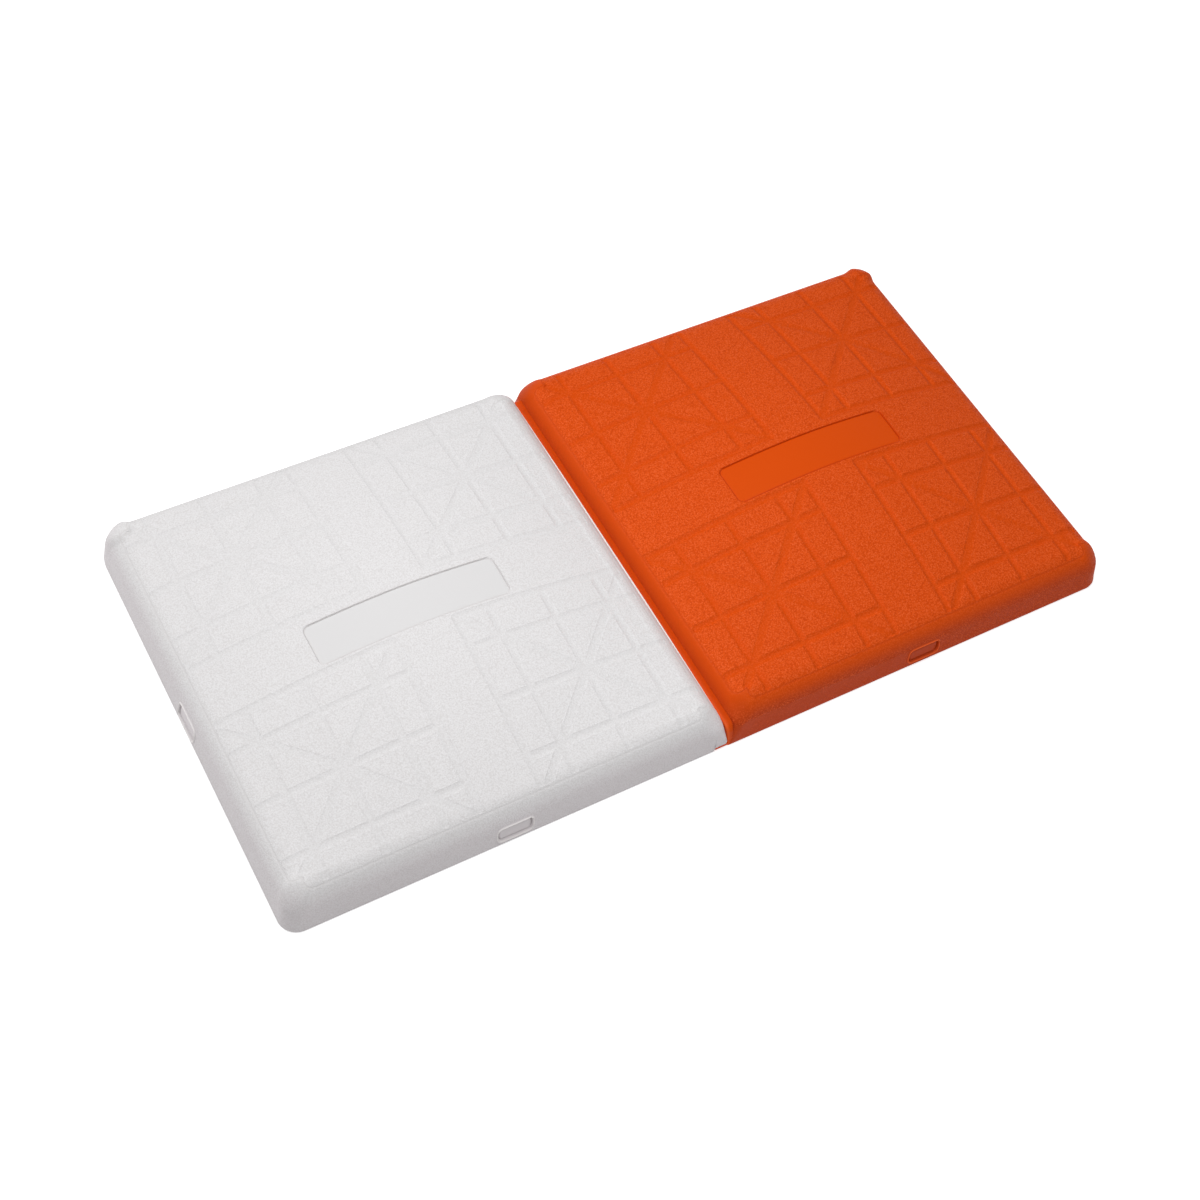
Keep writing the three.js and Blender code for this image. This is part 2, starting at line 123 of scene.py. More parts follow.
# Underside
RIM_INSET = 13.7
PAN_SPACE_TOP = 5.5
REBATE_TOP = 4.8
REBATE_EDGE = -12.6
PAN_HALF = 176.5
PAN_CORNER = 14.0
PAN_LOW = 3.2
PAN_HIGH = 5.2
BEAD_HEIGHT = 2.0
BEAD_HALF_WIDTH = 7.0
BEAD_FROM = 98.85
BEAD_TO = 194.85
BOLT_SPACING = 38.0
BOLT_HOLE = 5.5
CORE_BOTTOM = 7.5
ANCHOR_POCKET_HALF = 60.3
ANCHOR_POCKET_TOP = 18.1
LEDGE_CENTRE = 167.5
LIP_EDGE = -12.3
LIP_TOP = 4.5
LIP_HALF_LENGTH = 189.3
JOIN_LINE = -6.3
JOIN_PITCH = 76.0
COUNTERBORE = 5.25
COUNTERBORE_TOP = 3.0
SCREW_HEAD = 4.75
SCREW_HEAD_HEIGHT = 2.4
SCREW_RADIUS = 2.4
SCREW_LENGTH = 16.0

# Rows of the folded cover, from the flat of the top outwards, down the shoulder and wall and in under the rim.
# Top rows are shares of the way to the shoulder, shoulder rows run from its top, 1, to its foot, 0, with the
# crease at CREASE_ROW, and wall rows are heights above the ground.
TOP_ROWS = np.array([0.25, 0.5, 0.74, 0.92])
CREASE_ROW = 0.55
SHOULDER_ROWS = np.array([
    1, 0.93, 0.86, 0.79, 0.73, 0.68, 0.64, 0.61, 0.585, 0.565, 0.55, 0.535, 0.515, 0.49, 0.45, 0.39, 0.31,
    0.23, 0.15, 0.07, 0.02, 0.008, 0,
])
WALL_ROWS = np.array([
    20.6, 20.3, 20.05, 19.8, 19.5, 19.2, 18.9, 18.6, 18.0, 15.0, 12.7, 10.4, 7.6, 7.0, 6.7, 6.4, 6.1, 5.8, 5.55,
    5.3, 5.0, 4.65, 4.3, 4.0, 3.7, 2.0,
])
FOOT_INSETS = np.array([0.53, 1.59, 12.25, 12.75, 13.25, RIM_INSET, RIM_INSET])
FOOT_HEIGHTS = np.array([0.44, 0, 0, 0, 0, 0.45, PAN_SPACE_TOP])
CORE, TOP, SHOULDER, WALL, FOOT = range(5)
FAR = 99

# Marks of plain smooth rubber: grain share, painted shade in lines, distance to a channel, painted highlight on
# rims, share of the side walls' painted shade
CHANNEL_FAR = 9.0
SMOOTH_MARKS = {"grain": 0.2, "painted_shade": 0.0, "channel": CHANNEL_FAR, "rim": 0.0, "side": 0.0}


def smooth(low, high, value):
    """Smooth step: 0 up to low, 1 from high on, 3t^2 - 2t^3 between."""
    t = np.clip((value - low) / (high - low), 0, 1)
    return t * t * (3 - 2 * t)


def bell(value, width):
    """Bell curve: e to the power of minus the square of value over width."""
    return np.exp(-((value / width) ** 2))


def rounded_rectangle(x, y, half_x, half_y, radius):
    """Signed distance to a rectangle with rounded corners: the length of what lies past the inner corner
    in |x| and |y|, less the radius, negative inside."""
    dx = np.abs(x) - half_x + radius
    dy = np.abs(y) - half_y + radius
    return np.hypot(np.maximum(dx, 0), np.maximum(dy, 0)) + np.minimum(np.maximum(dx, dy), 0) - radius


def segment_distance(x, y, start, end):
    """Distance to a straight segment: from the point to its foot on the segment, held between the ends."""
    along = np.array(end, float) - np.array(start, float)
    t = ((x - start[0]) * along[0] + (y - start[1]) * along[1]) / (along @ along)
    t = np.clip(t, 0, 1)
    return np.hypot(x - start[0] - t * along[0], y - start[1] - t * along[1])


def crowned(u, v, shoulder, reach):
    """Height of a crowned top: the shoulder plus the rise times (1 - |u/reach|^p)(1 - |v/reach|^p)."""
    fall_u = 1 - np.minimum(np.abs(u) / reach, 1) ** CROWN_POWER
    fall_v = 1 - np.minimum(np.abs(v) / reach, 1) ** CROWN_POWER
    return shoulder + CROWN_RISE * fall_u * fall_v


def tread(u, v):
    """Distance to the nearest channel's middle line. Each block has four lines each way and two diagonals."""
    x, y = np.abs(u), np.abs(v)
    start = TREAD_LINES[0]
    away = segment_distance(x, y, (start, start), (DIAGONAL_END, DIAGONAL_END))
    away = np.minimum(away, segment_distance(x, y, (start, TREAD_END), (TREAD_END, start)))
    for line in TREAD_LINES:
        away = np.minimum(away, segment_distance(x, y, (line, start), (line, TREAD_END)))
        away = np.minimum(away, segment_distance(x, y, (start, line), (TREAD_END, line)))
    return away


def plan_lines():
    """Places of the cover's grid lines, the same both ways: close together at channels, panel and pocket
    edges, wider between, and mirrored about the star so that the diagonals run through grid points."""
    channel = np.array([-5.0, -3.8, -3.0, -2.1, -1.1, 0, 1.1, 2.1, 3.0, 3.8, 5.0])
    near = np.concatenate([
        [0, 4.5, 8.5, 11.4, 12.7, 13.1, 13.5, 14, 14.4, 14.8, 15.2, 15.6, 16, 16.4, 16.9, 17.25, 17.6],
        [18.8, 19.8, 20.3, 20.65, 21],
        TREAD_LINES[0] + channel,
        np.linspace(TREAD_LINES[0] + 5, TREAD_LINES[1] - 5, 6)[1:-1],
        TREAD_LINES[1] + channel,
        np.linspace(TREAD_LINES[1] + 5, STAR - 5, 9)[1:-1],
        STAR + channel[:6],
    ])
    mirrored = 2 * STAR - near[near < STAR]
    panel_ends = [77.9, 79.7, 80.2, 80.55, 80.9, 82.9, 84.5, 85, 85.35, 85.7]
    half = np.unique(np.concatenate([near, mirrored[mirrored < CORNER_CENTRE - 1], panel_ends, [CORNER_CENTRE]]))
    return np.concatenate([-half[:0:-1], half])


def quarter_turn(across, up):
    """Unit direction for a step of a square spiral: a quarter turn shared evenly between the square's steps,
    with the signs of the steps."""
    a, b = np.abs(across), np.abs(up)
    share = np.minimum(a, b) / np.maximum(np.maximum(a, b), 1)
    turn = np.where(a >= b, share, 2 - share) * math.pi / 4
    some = np.maximum(a, b) > 0
    return np.where(some, np.sign(across) * np.cos(turn), 0), np.where(some, np.sign(up) * np.sin(turn), 0)


def fold(lines, rows):
    """Square grid folded over a rounded square: inside, the lines themselves; past the last line, rows that
    go out from the nearest point of the inner square, with the corner squares turned into quarter discs.
    Gives the row number, the inner point and the outward direction of every grid point."""
    place = np.arange(len(lines) + 2 * rows)
    step = np.maximum(place - (len(place) - 1 - rows), 0) - np.maximum(rows - place, 0)
    line = lines[np.clip(place - rows, 0, len(lines) - 1)]
    step_u, step_v = np.meshgrid(step, step)
    base_u, base_v = np.meshgrid(line, line)
    out_u, out_v = quarter_turn(step_u, step_v)
    return step_u, step_v, base_u, base_v, out_u, out_v


def grid_faces(rows, columns, first=0):
    """Quads of a grid of points, row by row, facing up where u runs right and v runs away."""
    corner = first + np.arange(rows - 1)[:, None] * columns + np.arange(columns - 1)[None, :]
    return np.stack([corner, corner + 1, corner + columns + 1, corner + columns], -1).reshape(-1, 4)


def border(count):
    """Indices of the border of a square grid, once round, anticlockwise from above."""
    index = np.arange(count * count).reshape(count, count)
    return np.concatenate([index[0, :-1], index[:-1, -1], index[-1, :0:-1], index[:0:-1, 0]])


def band(inner, outer):
    """Quads between two loops of points with equal counts."""
    return np.stack([inner, outer, np.roll(outer, -1), np.roll(inner, -1)], -1)


def bands(index):
    """Quads between each loop of points and the next."""
    return np.concatenate([band(a, b) for a, b in zip(index[:-1], index[1:])])


def fan(loop, pole):
    """Triangles from a loop to one point past it."""
    return np.stack([loop, np.full(len(loop), pole), np.roll(loop, -1)], -1)


def loops(first, number, count):
    """Indices of a number of loops that follow each other in the list of points."""
    return first + np.arange(number * count).reshape(number, count)


def plain_marks(count):
    """Marks of plain smooth rubber for a number of points."""
    return {label: np.full(count, plain) for label, plain in SMOOTH_MARKS.items()}


def piece(name, points, faces, material, nodes, crisp=35, marks=None):
    """Closed mesh from points in millimetres and face arrays, turned outwards by the sign of its volume, with
    smooth shading that breaks at edges sharper than crisp degrees, standing for the named nodes."""
    points = np.asarray(points, float)
    volume = 0.0
    for group in faces:
        for k in range(1, group.shape[1] - 1):
            a, b, c = points[group[:, 0]], points[group[:, k]], points[group[:, k + 1]]
            volume += np.einsum("ij,ij->", a, np.cross(b, c))
    if volume < 0:
        faces = [group[:, ::-1] for group in faces]
    corners = np.concatenate([group.ravel() for group in faces]).astype(np.int32)
    sizes = np.concatenate([np.full(len(group), group.shape[1]) for group in faces])
    mesh = bpy.data.meshes.new(name)
    mesh.vertices.add(len(points))
    mesh.vertices.foreach_set("co", (points * MM).astype(np.float32).ravel())
    mesh.loops.add(len(corners))
    mesh.loops.foreach_set("vertex_index", corners)
    mesh.polygons.add(len(sizes))
    mesh.polygons.foreach_set("loop_start", np.concatenate([[0], np.cumsum(sizes)[:-1]]).astype(np.int32))
    mesh.update(calc_edges=True)
    mesh.validate()
    mesh.polygons.foreach_set("use_smooth", np.ones(len(mesh.polygons), bool))
    mesh.set_sharp_from_angle(angle=math.radians(crisp))
    for label, values in (marks or {}).items():
        layer = mesh.attributes.new(label, "FLOAT", "POINT")
        layer.data.foreach_set("value", np.asarray(values, np.float32))
    mesh.materials.append(material)
    made = bpy.data.objects.new(name, mesh)
    bpy.context.scene.collection.objects.link(made)
    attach(made, "root")
    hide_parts(*nodes)
    return made


def block_rows(gap, bottom):
    """Insets and heights of the hollow's wall and shoulder, or of the foam when drawn in by the gap: a wall
    with draft, then an arc from the wall's lean to the shoulder's sweep. Gives the rows upwards, the half
    side, the shoulder's height and the crown's reach."""
    half = CAVITY_SIDE / 2 - gap
    radius = CAVITY_SHOULDER - gap
    shoulder = SHOULDER_HEIGHT - COVER_THICKNESS - gap
    sweep = math.pi / 2 - math.atan(CROWN_RISE * CROWN_POWER / (half - radius))
    top = shoulder - radius * (math.sin(sweep) - math.sin(LEAN))
    angle = np.linspace(LEAN, sweep, 7)
    arc = WALL_DRAFT * (top - PAN_LOW) + radius * (math.cos(LEAN) - np.cos(angle))
    inset = np.concatenate([[WALL_DRAFT * (bottom - PAN_LOW)], arc])
    height = np.concatenate([[bottom], top + radius * (np.sin(angle) - math.sin(LEAN))])
    return inset, height, half, shoulder, half - inset[-1]


def block_loops(ring, gap, bottom):
    """Loops of the hollow or foam from its bottom edge to near the crown's middle: the rows of its wall and
    shoulder round the ring, then the ring drawn in evenly over the crowned top."""
    base_u, base_v, out_u, out_v = ring
    inset, height, half, shoulder, reach = block_rows(gap, bottom)
    corner = PAN_CORNER - gap
    inner = (half - corner - inset)[:, None]
    wall_u = base_u * inner + out_u * corner
    wall_v = base_v * inner + out_v * corner
    share = np.linspace(1, 0, 10)[1:-1, None]
    top_u, top_v = wall_u[-1] * share, wall_v[-1] * share
    top_z = crowned(top_u, top_v, shoulder, reach)
    wall_z = np.broadcast_to(height[:, None], wall_u.shape)
    wall = np.stack([wall_u, wall_v, wall_z], -1)
    top = np.stack([top_u, top_v, top_z], -1)
    return np.concatenate([wall, top]), shoulder + CROWN_RISE


def corner_reach(out_u, out_v, inset, ground):
    """Distance along a direction from a corner's centre to the outline drawn in by an inset. The outline's own
    radius is the ground radius at inset 0 and goes over by a smooth step to circles round the centre; where
    it is smaller, the ray meets the straight side or the arc, by the quadratic for a ray and a circle."""
    full = CORNER_RADIUS - inset
    own = ground + (full - ground) * smooth(0, CORNER_BLEND, inset)
    beyond = full - own
    a, b = np.abs(out_u), np.abs(out_v)
    side = full / np.maximum(np.maximum(a, b), 0.5)
    dot = beyond * (a + b)
    arc = dot + np.sqrt(np.maximum(dot ** 2 - 2 * beyond ** 2 + own ** 2, 0))
    return np.where(side * np.minimum(a, b) <= beyond, side, arc)


def cover_sheet(seam, rebate, depth, polish):
    """Outside of a half as one folded grid. Row by row outwards the height follows the crown, the arc of the
    shoulder from the wall's lean to its sweep, the drafted wall, and the rim in to the pan's space. Channels,
    panel, moat and crease are sunk along the surface's normal and the ears' round knobs raised along it; pockets
    are sunk into the wall with a half-sine bead round them. Polish is how far the shoulder lacks grain."""
    lines = plan_lines()
    kinds = np.concatenate([
        [CORE], np.full(len(TOP_ROWS), TOP), np.full(len(SHOULDER_ROWS), SHOULDER),
        np.full(len(WALL_ROWS), WALL), np.full(len(FOOT_INSETS), FOOT),
    ])
    shares = np.concatenate([[0], TOP_ROWS, SHOULDER_ROWS, WALL_ROWS, FOOT_HEIGHTS])
    insets = np.concatenate([np.zeros(len(kinds) - len(FOOT_INSETS)), FOOT_INSETS])
    step_u, step_v, base_u, base_v, out_u, out_v = fold(lines, len(kinds) - 1)
    row = np.maximum(np.abs(step_u), np.abs(step_v))
    kind, share = kinds[row], shares[row]

    seam_back = SEAM_CORNER if rebate is not None else ORANGE_BACK_CORNER
    ground = np.where(
        np.sign(step_u) == seam,
        np.where(step_v > 0, seam_back, SEAM_CORNER),
        np.where(step_v > 0, BACK_CORNER, FRONT_CORNER),
    )
    tip = HALF_SIDE / 2 - ground * (1 - math.sqrt(0.5))
    foot = corner_reach(out_u, out_v, 0.0, ground)
    away = np.hypot(np.abs(base_u + out_u * foot) - tip, np.abs(base_v + out_v * foot) - tip)
    ear = bell(away, EAR_REACH)
    to_seam = np.maximum(out_u * seam, 0)
    draft = WALL_DRAFT + (SEAM_DRAFT - WALL_DRAFT) * to_seam ** 2
    lean = np.arctan(draft)
    wall_top = SHOULDER_HEIGHT - SHOULDER_RADIUS * (math.sin(SWEEP) - np.sin(lean))
    edge = draft * wall_top + SHOULDER_RADIUS * (np.cos(lean) - math.cos(SWEEP))

    crease = CREASE_AT + (EAR_CREASE_AT - CREASE_AT) * ear
    below = crease * share / CREASE_ROW
    above = crease + (1 - crease) * (share - CREASE_ROW) / (1 - CREASE_ROW)
    angle = lean + np.where(share < CREASE_ROW, below, above) * (SWEEP - lean)
    from_crease = SHOULDER_RADIUS * (angle - lean - crease * (SWEEP - lean))
    from_crease = np.select([kind < SHOULDER, kind > SHOULDER], [FAR, -FAR], from_crease)

    wall_z = share * wall_top / WALL_TOP
    rows = [kind == TOP, kind == SHOULDER, kind == WALL, kind == FOOT]
    inset = np.select(rows, [
        edge,
        draft * wall_top + SHOULDER_RADIUS * (np.cos(lean) - np.cos(angle)),
        draft * wall_z,
        insets[row],
    ], edge)
    reach = corner_reach(out_u, out_v, inset, ground) * np.where(kind == TOP, share, 1)
    u = base_u + out_u * reach
    v = base_v + out_v * reach
    top_z = crowned(u, v, SHOULDER_HEIGHT, CROWN_REACH)
    arc_z = wall_top + SHOULDER_RADIUS * (np.sin(angle) - np.sin(lean))
    z = np.select(rows, [top_z, arc_z, wall_z, share], top_z)

    from_line = np.minimum(tread(u, v), CHANNEL_FAR) + CHANNEL_FAR * (1 - smooth(0, 2.5, from_crease))
    groove = 1 - smooth(GROOVE_FLOOR, GROOVE_TOP, from_line)
    panel_edge = rounded_rectangle(
        u - PANEL_MIDDLE[0], v - PANEL_MIDDLE[1], PANEL_HALF_LENGTH, PANEL_HALF_WIDTH, PANEL_CORNER
    )
    panel = np.where(kind == CORE, np.clip(-panel_edge / PANEL_WALL, 0, 1), 0)
    moat = np.where(kind == CORE, bell(panel_edge + PANEL_WALL, MOAT_WIDTH), 0)
    ridge = CREASE_RIDGE * bell(from_crease + CREASE_RIDGE_AT, CREASE_RIDGE_WIDTH)
    furrow = bell(from_crease, CREASE_WIDTH) - ridge
    from_ear = np.hypot(np.abs(u) - EAR_PLACE, np.abs(v) - EAR_PLACE)
    knob = np.where(kind <= WALL, 1 - smooth(EAR_CROWN * EAR_RADIUS, EAR_RADIUS, from_ear), 0)
    knob *= np.where(v > 0, BACK_EAR_RISE, FRONT_EAR_RISE) * np.where(np.sign(u) == seam, SEAM_EAR_SHARE, 1)
    sink = depth * groove + PANEL_DEPTH * panel + MOAT_DEPTH * moat + CREASE_DEPTH * furrow - knob
    slope = np.select([kind == SHOULDER, kind >= WALL], [angle, lean], math.pi / 2)

    seam_side = np.sign(base_u) == seam
    low = (kind == WALL) | ((kind == SHOULDER) & (share < 0.05))
    walled = low & (((step_v == 0) & ~seam_side) | (step_u == 0))
    along = np.where(step_v == 0, base_v, base_u - POCKET_SHIFT)
    pocket_edge = rounded_rectangle(
        along, z - POCKET_MIDDLE, POCKET_HALF_LENGTH, POCKET_HALF_HEIGHT, POCKET_CORNER
    )
    slot = bell(pocket_edge + POCKET_SLOT_AT, POCKET_SLOT_WIDTH)
    hollow = POCKET_DEPTH * (1 - smooth(-POCKET_WALL, 0, pocket_edge)) + POCKET_SLOT * slot
    bead = POCKET_BEAD * np.sin(math.pi * np.clip(pocket_edge / POCKET_BEAD_SPAN, 0, 1))
    inward = sink * np.cos(slope) + np.where(walled, hollow - bead, 0)

    if rebate is not None:
        over = (u > rebate) & (kind >= WALL)
        raised = np.select(
            [kind == WALL, (kind == FOOT) & (insets[row] < RIM_INSET)],
            [REBATE_TOP + z * (WALL_TOP - REBATE_TOP) / WALL_TOP, REBATE_TOP + z], z,
        )
        z = np.where(over, raised, z)

    moulded = np.where(walled, 1 - smooth(POCKET_BEAD_SPAN, POCKET_BEAD_SPAN + 1, pocket_edge), 0)
    slick = np.where(kind == SHOULDER, 1 - smooth(-3, 0.8, from_crease), 0) * smooth(0, 0.5 * CREASE_ROW, share)
    slick = polish * np.maximum(slick, np.where((kind == WALL) & seam_side, 1, 0))
    slick *= 0.55 + 0.45 * to_seam ** 2
    grain = np.select([kind == FOOT, kind == WALL], [0.3, 0.85], 1.0) * (1 - panel) * (1 - moulded) * (1 - slick)
    # Painted highlight: the pale tone on the pocket's bead.
    rim = np.where(walled, bead / POCKET_BEAD, 0)
    # Painted shade: the dark tone in the moat round the panel, the pocket's slot, along the crease (stronger at
    # the ears) and on the seam shoulder's smooth band.
    painted_shade = np.maximum(moat, np.where(walled, slot, 0))
    painted_shade = np.maximum(painted_shade, (0.45 + 0.35 * ear) * bell(from_crease, 1.2 * CREASE_WIDTH))
    painted_shade = np.maximum(painted_shade, 0.25 * slick * to_seam)
    # Painted shade: share of the wall tone, full on the walls and under the rim, fading out up the shoulder.
    down = 1 - smooth(0.1 * CREASE_ROW, 0.9 * CREASE_ROW, share)
    side = np.select([kind < SHOULDER, kind > SHOULDER], [0, 1], down)
    points = np.stack([u - out_u * inward, v - out_v * inward, z - sink * np.sin(slope)], -1)
    ring = (base_u.ravel() / CORNER_CENTRE, base_v.ravel() / CORNER_CENTRE, out_u.ravel(), out_v.ravel())
    marks = {"grain": grain, "painted_shade": painted_shade, "channel": from_line, "rim": rim, "side": side}
    marks = {label: values.ravel() for label, values in marks.items()}
    return points.reshape(-1, 3), marks, len(points), ring


def rubber_cover(name, centre, seam, rebate, depth, polish, material):
    """Whole cover: the folded outside, then the ledge under it as one loop of wider faces, and the hollow up
    to its ceiling, where the loops close in a pole."""
    points, marks, count, ring = cover_sheet(seam, rebate, depth, polish)
    edge = border(count)
    coarse = edge[::8]
    inner_ring = tuple(part[coarse] for part in ring)
    rings, ceiling = block_loops(inner_ring, 0, PAN_SPACE_TOP)
    number, around = rings.shape[:2]
    first = len(points)
    index = loops(first, number, around)
    pole = first + number * around
    between = [edge[k::8] for k in range(7, 0, -1)]
    ledge = np.stack([np.roll(edge, -8)[::8], *between, coarse, index[0], np.roll(index[0], -1)], -1)
    hollow = bands(index)
    faces = [grid_faces(count, count), ledge, hollow, fan(index[-1], pole)]
    points = np.concatenate([points, rings.reshape(-1, 3), [[0, 0, ceiling]]])
    points[:, 0] += centre
    hidden = number * around + 1
    for label, plain in plain_marks(hidden).items():
        marks[label] = np.concatenate([marks[label], plain])
    node = name + "_cover"
    piece(node, points, faces, material, [node], 40, marks)
    return inner_ring


def foam_core(name, centre, ring, material):
    """Foam block: the hollow's loops drawn in by the seat, closed at the crown, and below turned in to the
    recess that clears the anchor plate and its nuts."""
    rings, crown = block_loops(ring, SEAT, CORE_BOTTOM)
    base_u, base_v, out_u, out_v = ring
    recess_u = base_u * (ANCHOR_POCKET_HALF - 8) + out_u * 8
    recess_v = base_v * (ANCHOR_POCKET_HALF - 8) + out_v * 8
    low = np.stack([recess_u, recess_v, np.full(len(recess_u), CORE_BOTTOM)], -1)
    high = np.stack([recess_u, recess_v, np.full(len(recess_u), ANCHOR_POCKET_TOP)], -1)
    rings = np.concatenate([[high], [low], rings])
    number, around = rings.shape[:2]
    index = loops(0, number, around)
    crown_pole, recess_pole = number * around, number * around + 1
    sides = bands(index)
    faces = [sides, fan(index[-1], crown_pole), fan(index[0], recess_pole)[:, ::-1]]
    points = np.concatenate([rings.reshape(-1, 3), [[0, 0, crown], [0, 0, ANCHOR_POCKET_TOP]]])
    points[:, 0] += centre
    made = piece(name + "_core", points, faces, material, [name + "_core"], 50)
    return made


def hole_steps(lines, centres, steps):
    """Steps of each line from the nearest hole's middle line, or 99 where it is outside every hole's square."""
    middle = np.array([np.argmin(np.abs(lines - c)) for c in centres])
    away = np.arange(len(lines))[:, None] - middle[None, :]
    nearest = np.argmin(np.abs(away), 1)
    away = away[np.arange(len(lines)), nearest]
    return np.where(np.abs(away) <= steps, away, 99), lines[middle[nearest]]


def steel_pan(name, centre, material):
    """Pressed sheet: a folded square grid for each face, both raised by cosine-squared beads along the
    diagonals, joined round a rolled edge and through four round bolt holes."""
    hole = BOLT_SPACING + 8 * np.arange(-5, 6) / 5
    half = np.concatenate([np.linspace(0, 30, 8)[:-1], hole, np.linspace(46, PAN_HALF - PAN_CORNER, 34)[1:]])
    lines = np.concatenate([-half[:0:-1], half])
    offsets = np.array([0, 3.5, 7, 10.5, 13.4, PAN_CORNER])
    step_u, step_v, base_u, base_v, out_u, out_v = fold(lines, len(offsets) - 1)
    row = np.maximum(np.abs(step_u), np.abs(step_v))
    u, v = base_u + out_u * offsets[row], base_v + out_v * offsets[row]

    bolt_steps, bolt_line = hole_steps(lines, (-BOLT_SPACING, BOLT_SPACING), 5)
    pad = len(offsets) - 1
    bolt_steps = np.pad(bolt_steps, pad, constant_values=99)
    bolt_line = np.pad(bolt_line, pad)
    hole_u, hole_v = np.meshgrid(bolt_steps, bolt_steps)
    line_u, line_v = np.meshgrid(bolt_line, bolt_line)
    ring = np.maximum(np.abs(hole_u), np.abs(hole_v))
    turn_u, turn_v = quarter_turn(hole_u, hole_v)
    radius = np.select([ring == 4, ring == 3], [BOLT_HOLE + 1.2, BOLT_HOLE], 0)
    u = np.where(radius > 0, line_u + turn_u * radius, u)
    v = np.where(radius > 0, line_v + turn_v * radius, v)

    diagonal = BEAD_FROM * math.sqrt(0.5), BEAD_TO * math.sqrt(0.5)
    away = segment_distance(np.abs(u), np.abs(v), (diagonal[0],) * 2, (diagonal[1],) * 2)
    bead = BEAD_HEIGHT * np.cos(0.5 * math.pi * np.clip(away / (BEAD_HALF_WIDTH + 1), 0, 1)) ** 2
    rolled = np.where(row == pad, 0.6, 0)
    high = np.stack([u, v, PAN_HIGH + bead - rolled], -1).reshape(-1, 3)
    low = np.stack([u, v, PAN_LOW + bead + rolled], -1).reshape(-1, 3)

    count = len(u)
    sheet = grid_faces(count, count)
    sheet = sheet[(ring.ravel()[sheet] > 3).any(1)]
    shift = count * count
    edge = border(count)
    index = np.arange(shift).reshape(count, count)
    middles = [pad + int(np.argmin(np.abs(lines - c))) for c in (-BOLT_SPACING, BOLT_SPACING)]
    walls = [band(edge, edge + shift)]
    for i in middles:
        for j in middles:
            square = index[j - 3:j + 4, i - 3:i + 4].ravel()[border(7)]
            walls.append(band(square + shift, square))
    faces = np.concatenate([sheet, sheet[:, ::-1] + shift, *walls])
    used, faces = np.unique(faces, return_inverse=True)
    points = np.concatenate([high, low])[used]
    points[:, 0] += centre
    return piece(name + "_pan", points, [faces.reshape(-1, 4)], material, [name + "_pan"], 40)


def turned_screw(name, x, y, seat, material):
    """Pan-head screw, point up: a profile of radii and heights carried round the axis, its domed face sunk by
    a cross recess whose arms taper off with the radius."""
    radii = np.array([
        0.5, 1.0, 1.5, 2.0, 2.5, 3.0, 3.5, 4.0, 4.4, 4.65, SCREW_HEAD, SCREW_HEAD, 4.5, SCREW_RADIUS + 0.3,
        SCREW_RADIUS, SCREW_RADIUS, 2.0, 0.9,
    ])
    heights = np.array([
        -SCREW_HEAD_HEIGHT, -SCREW_HEAD_HEIGHT, -2.39, -2.36, -2.31, -2.23, -2.12, -1.94, -1.7, -1.4,
        -0.9, -0.3, 0, 0, 0.3, SCREW_LENGTH - 4.2, SCREW_LENGTH - 3.2, SCREW_LENGTH - 0.6,
    ])
    angle = np.arange(48) / 48 * 2 * math.pi
    px = radii[:, None] * np.cos(angle)
    py = radii[:, None] * np.sin(angle)
    arm = np.minimum(np.abs(px), np.abs(py))
    face = np.arange(len(radii))[:, None] < 9
    recess = np.where(face, (1 - smooth(0.35, 0.85, arm)) * (1 - smooth(1.6, 3.1, radii[:, None])), 0)
    pz = heights[:, None] + 1.3 * recess
    points = np.stack([px, py, pz], -1).reshape(-1, 3)
    index = loops(0, len(radii), len(angle))
    sides = bands(index)
    last = len(points)
    faces = [sides, fan(index[-1], last), fan(index[0], last + 1)[:, ::-1]]
    points = np.concatenate([points, [[0, 0, SCREW_LENGTH], [0, 0, -1.1]]]) + (x, y, seat)
    return piece(name, points, faces, material, [name], 45)


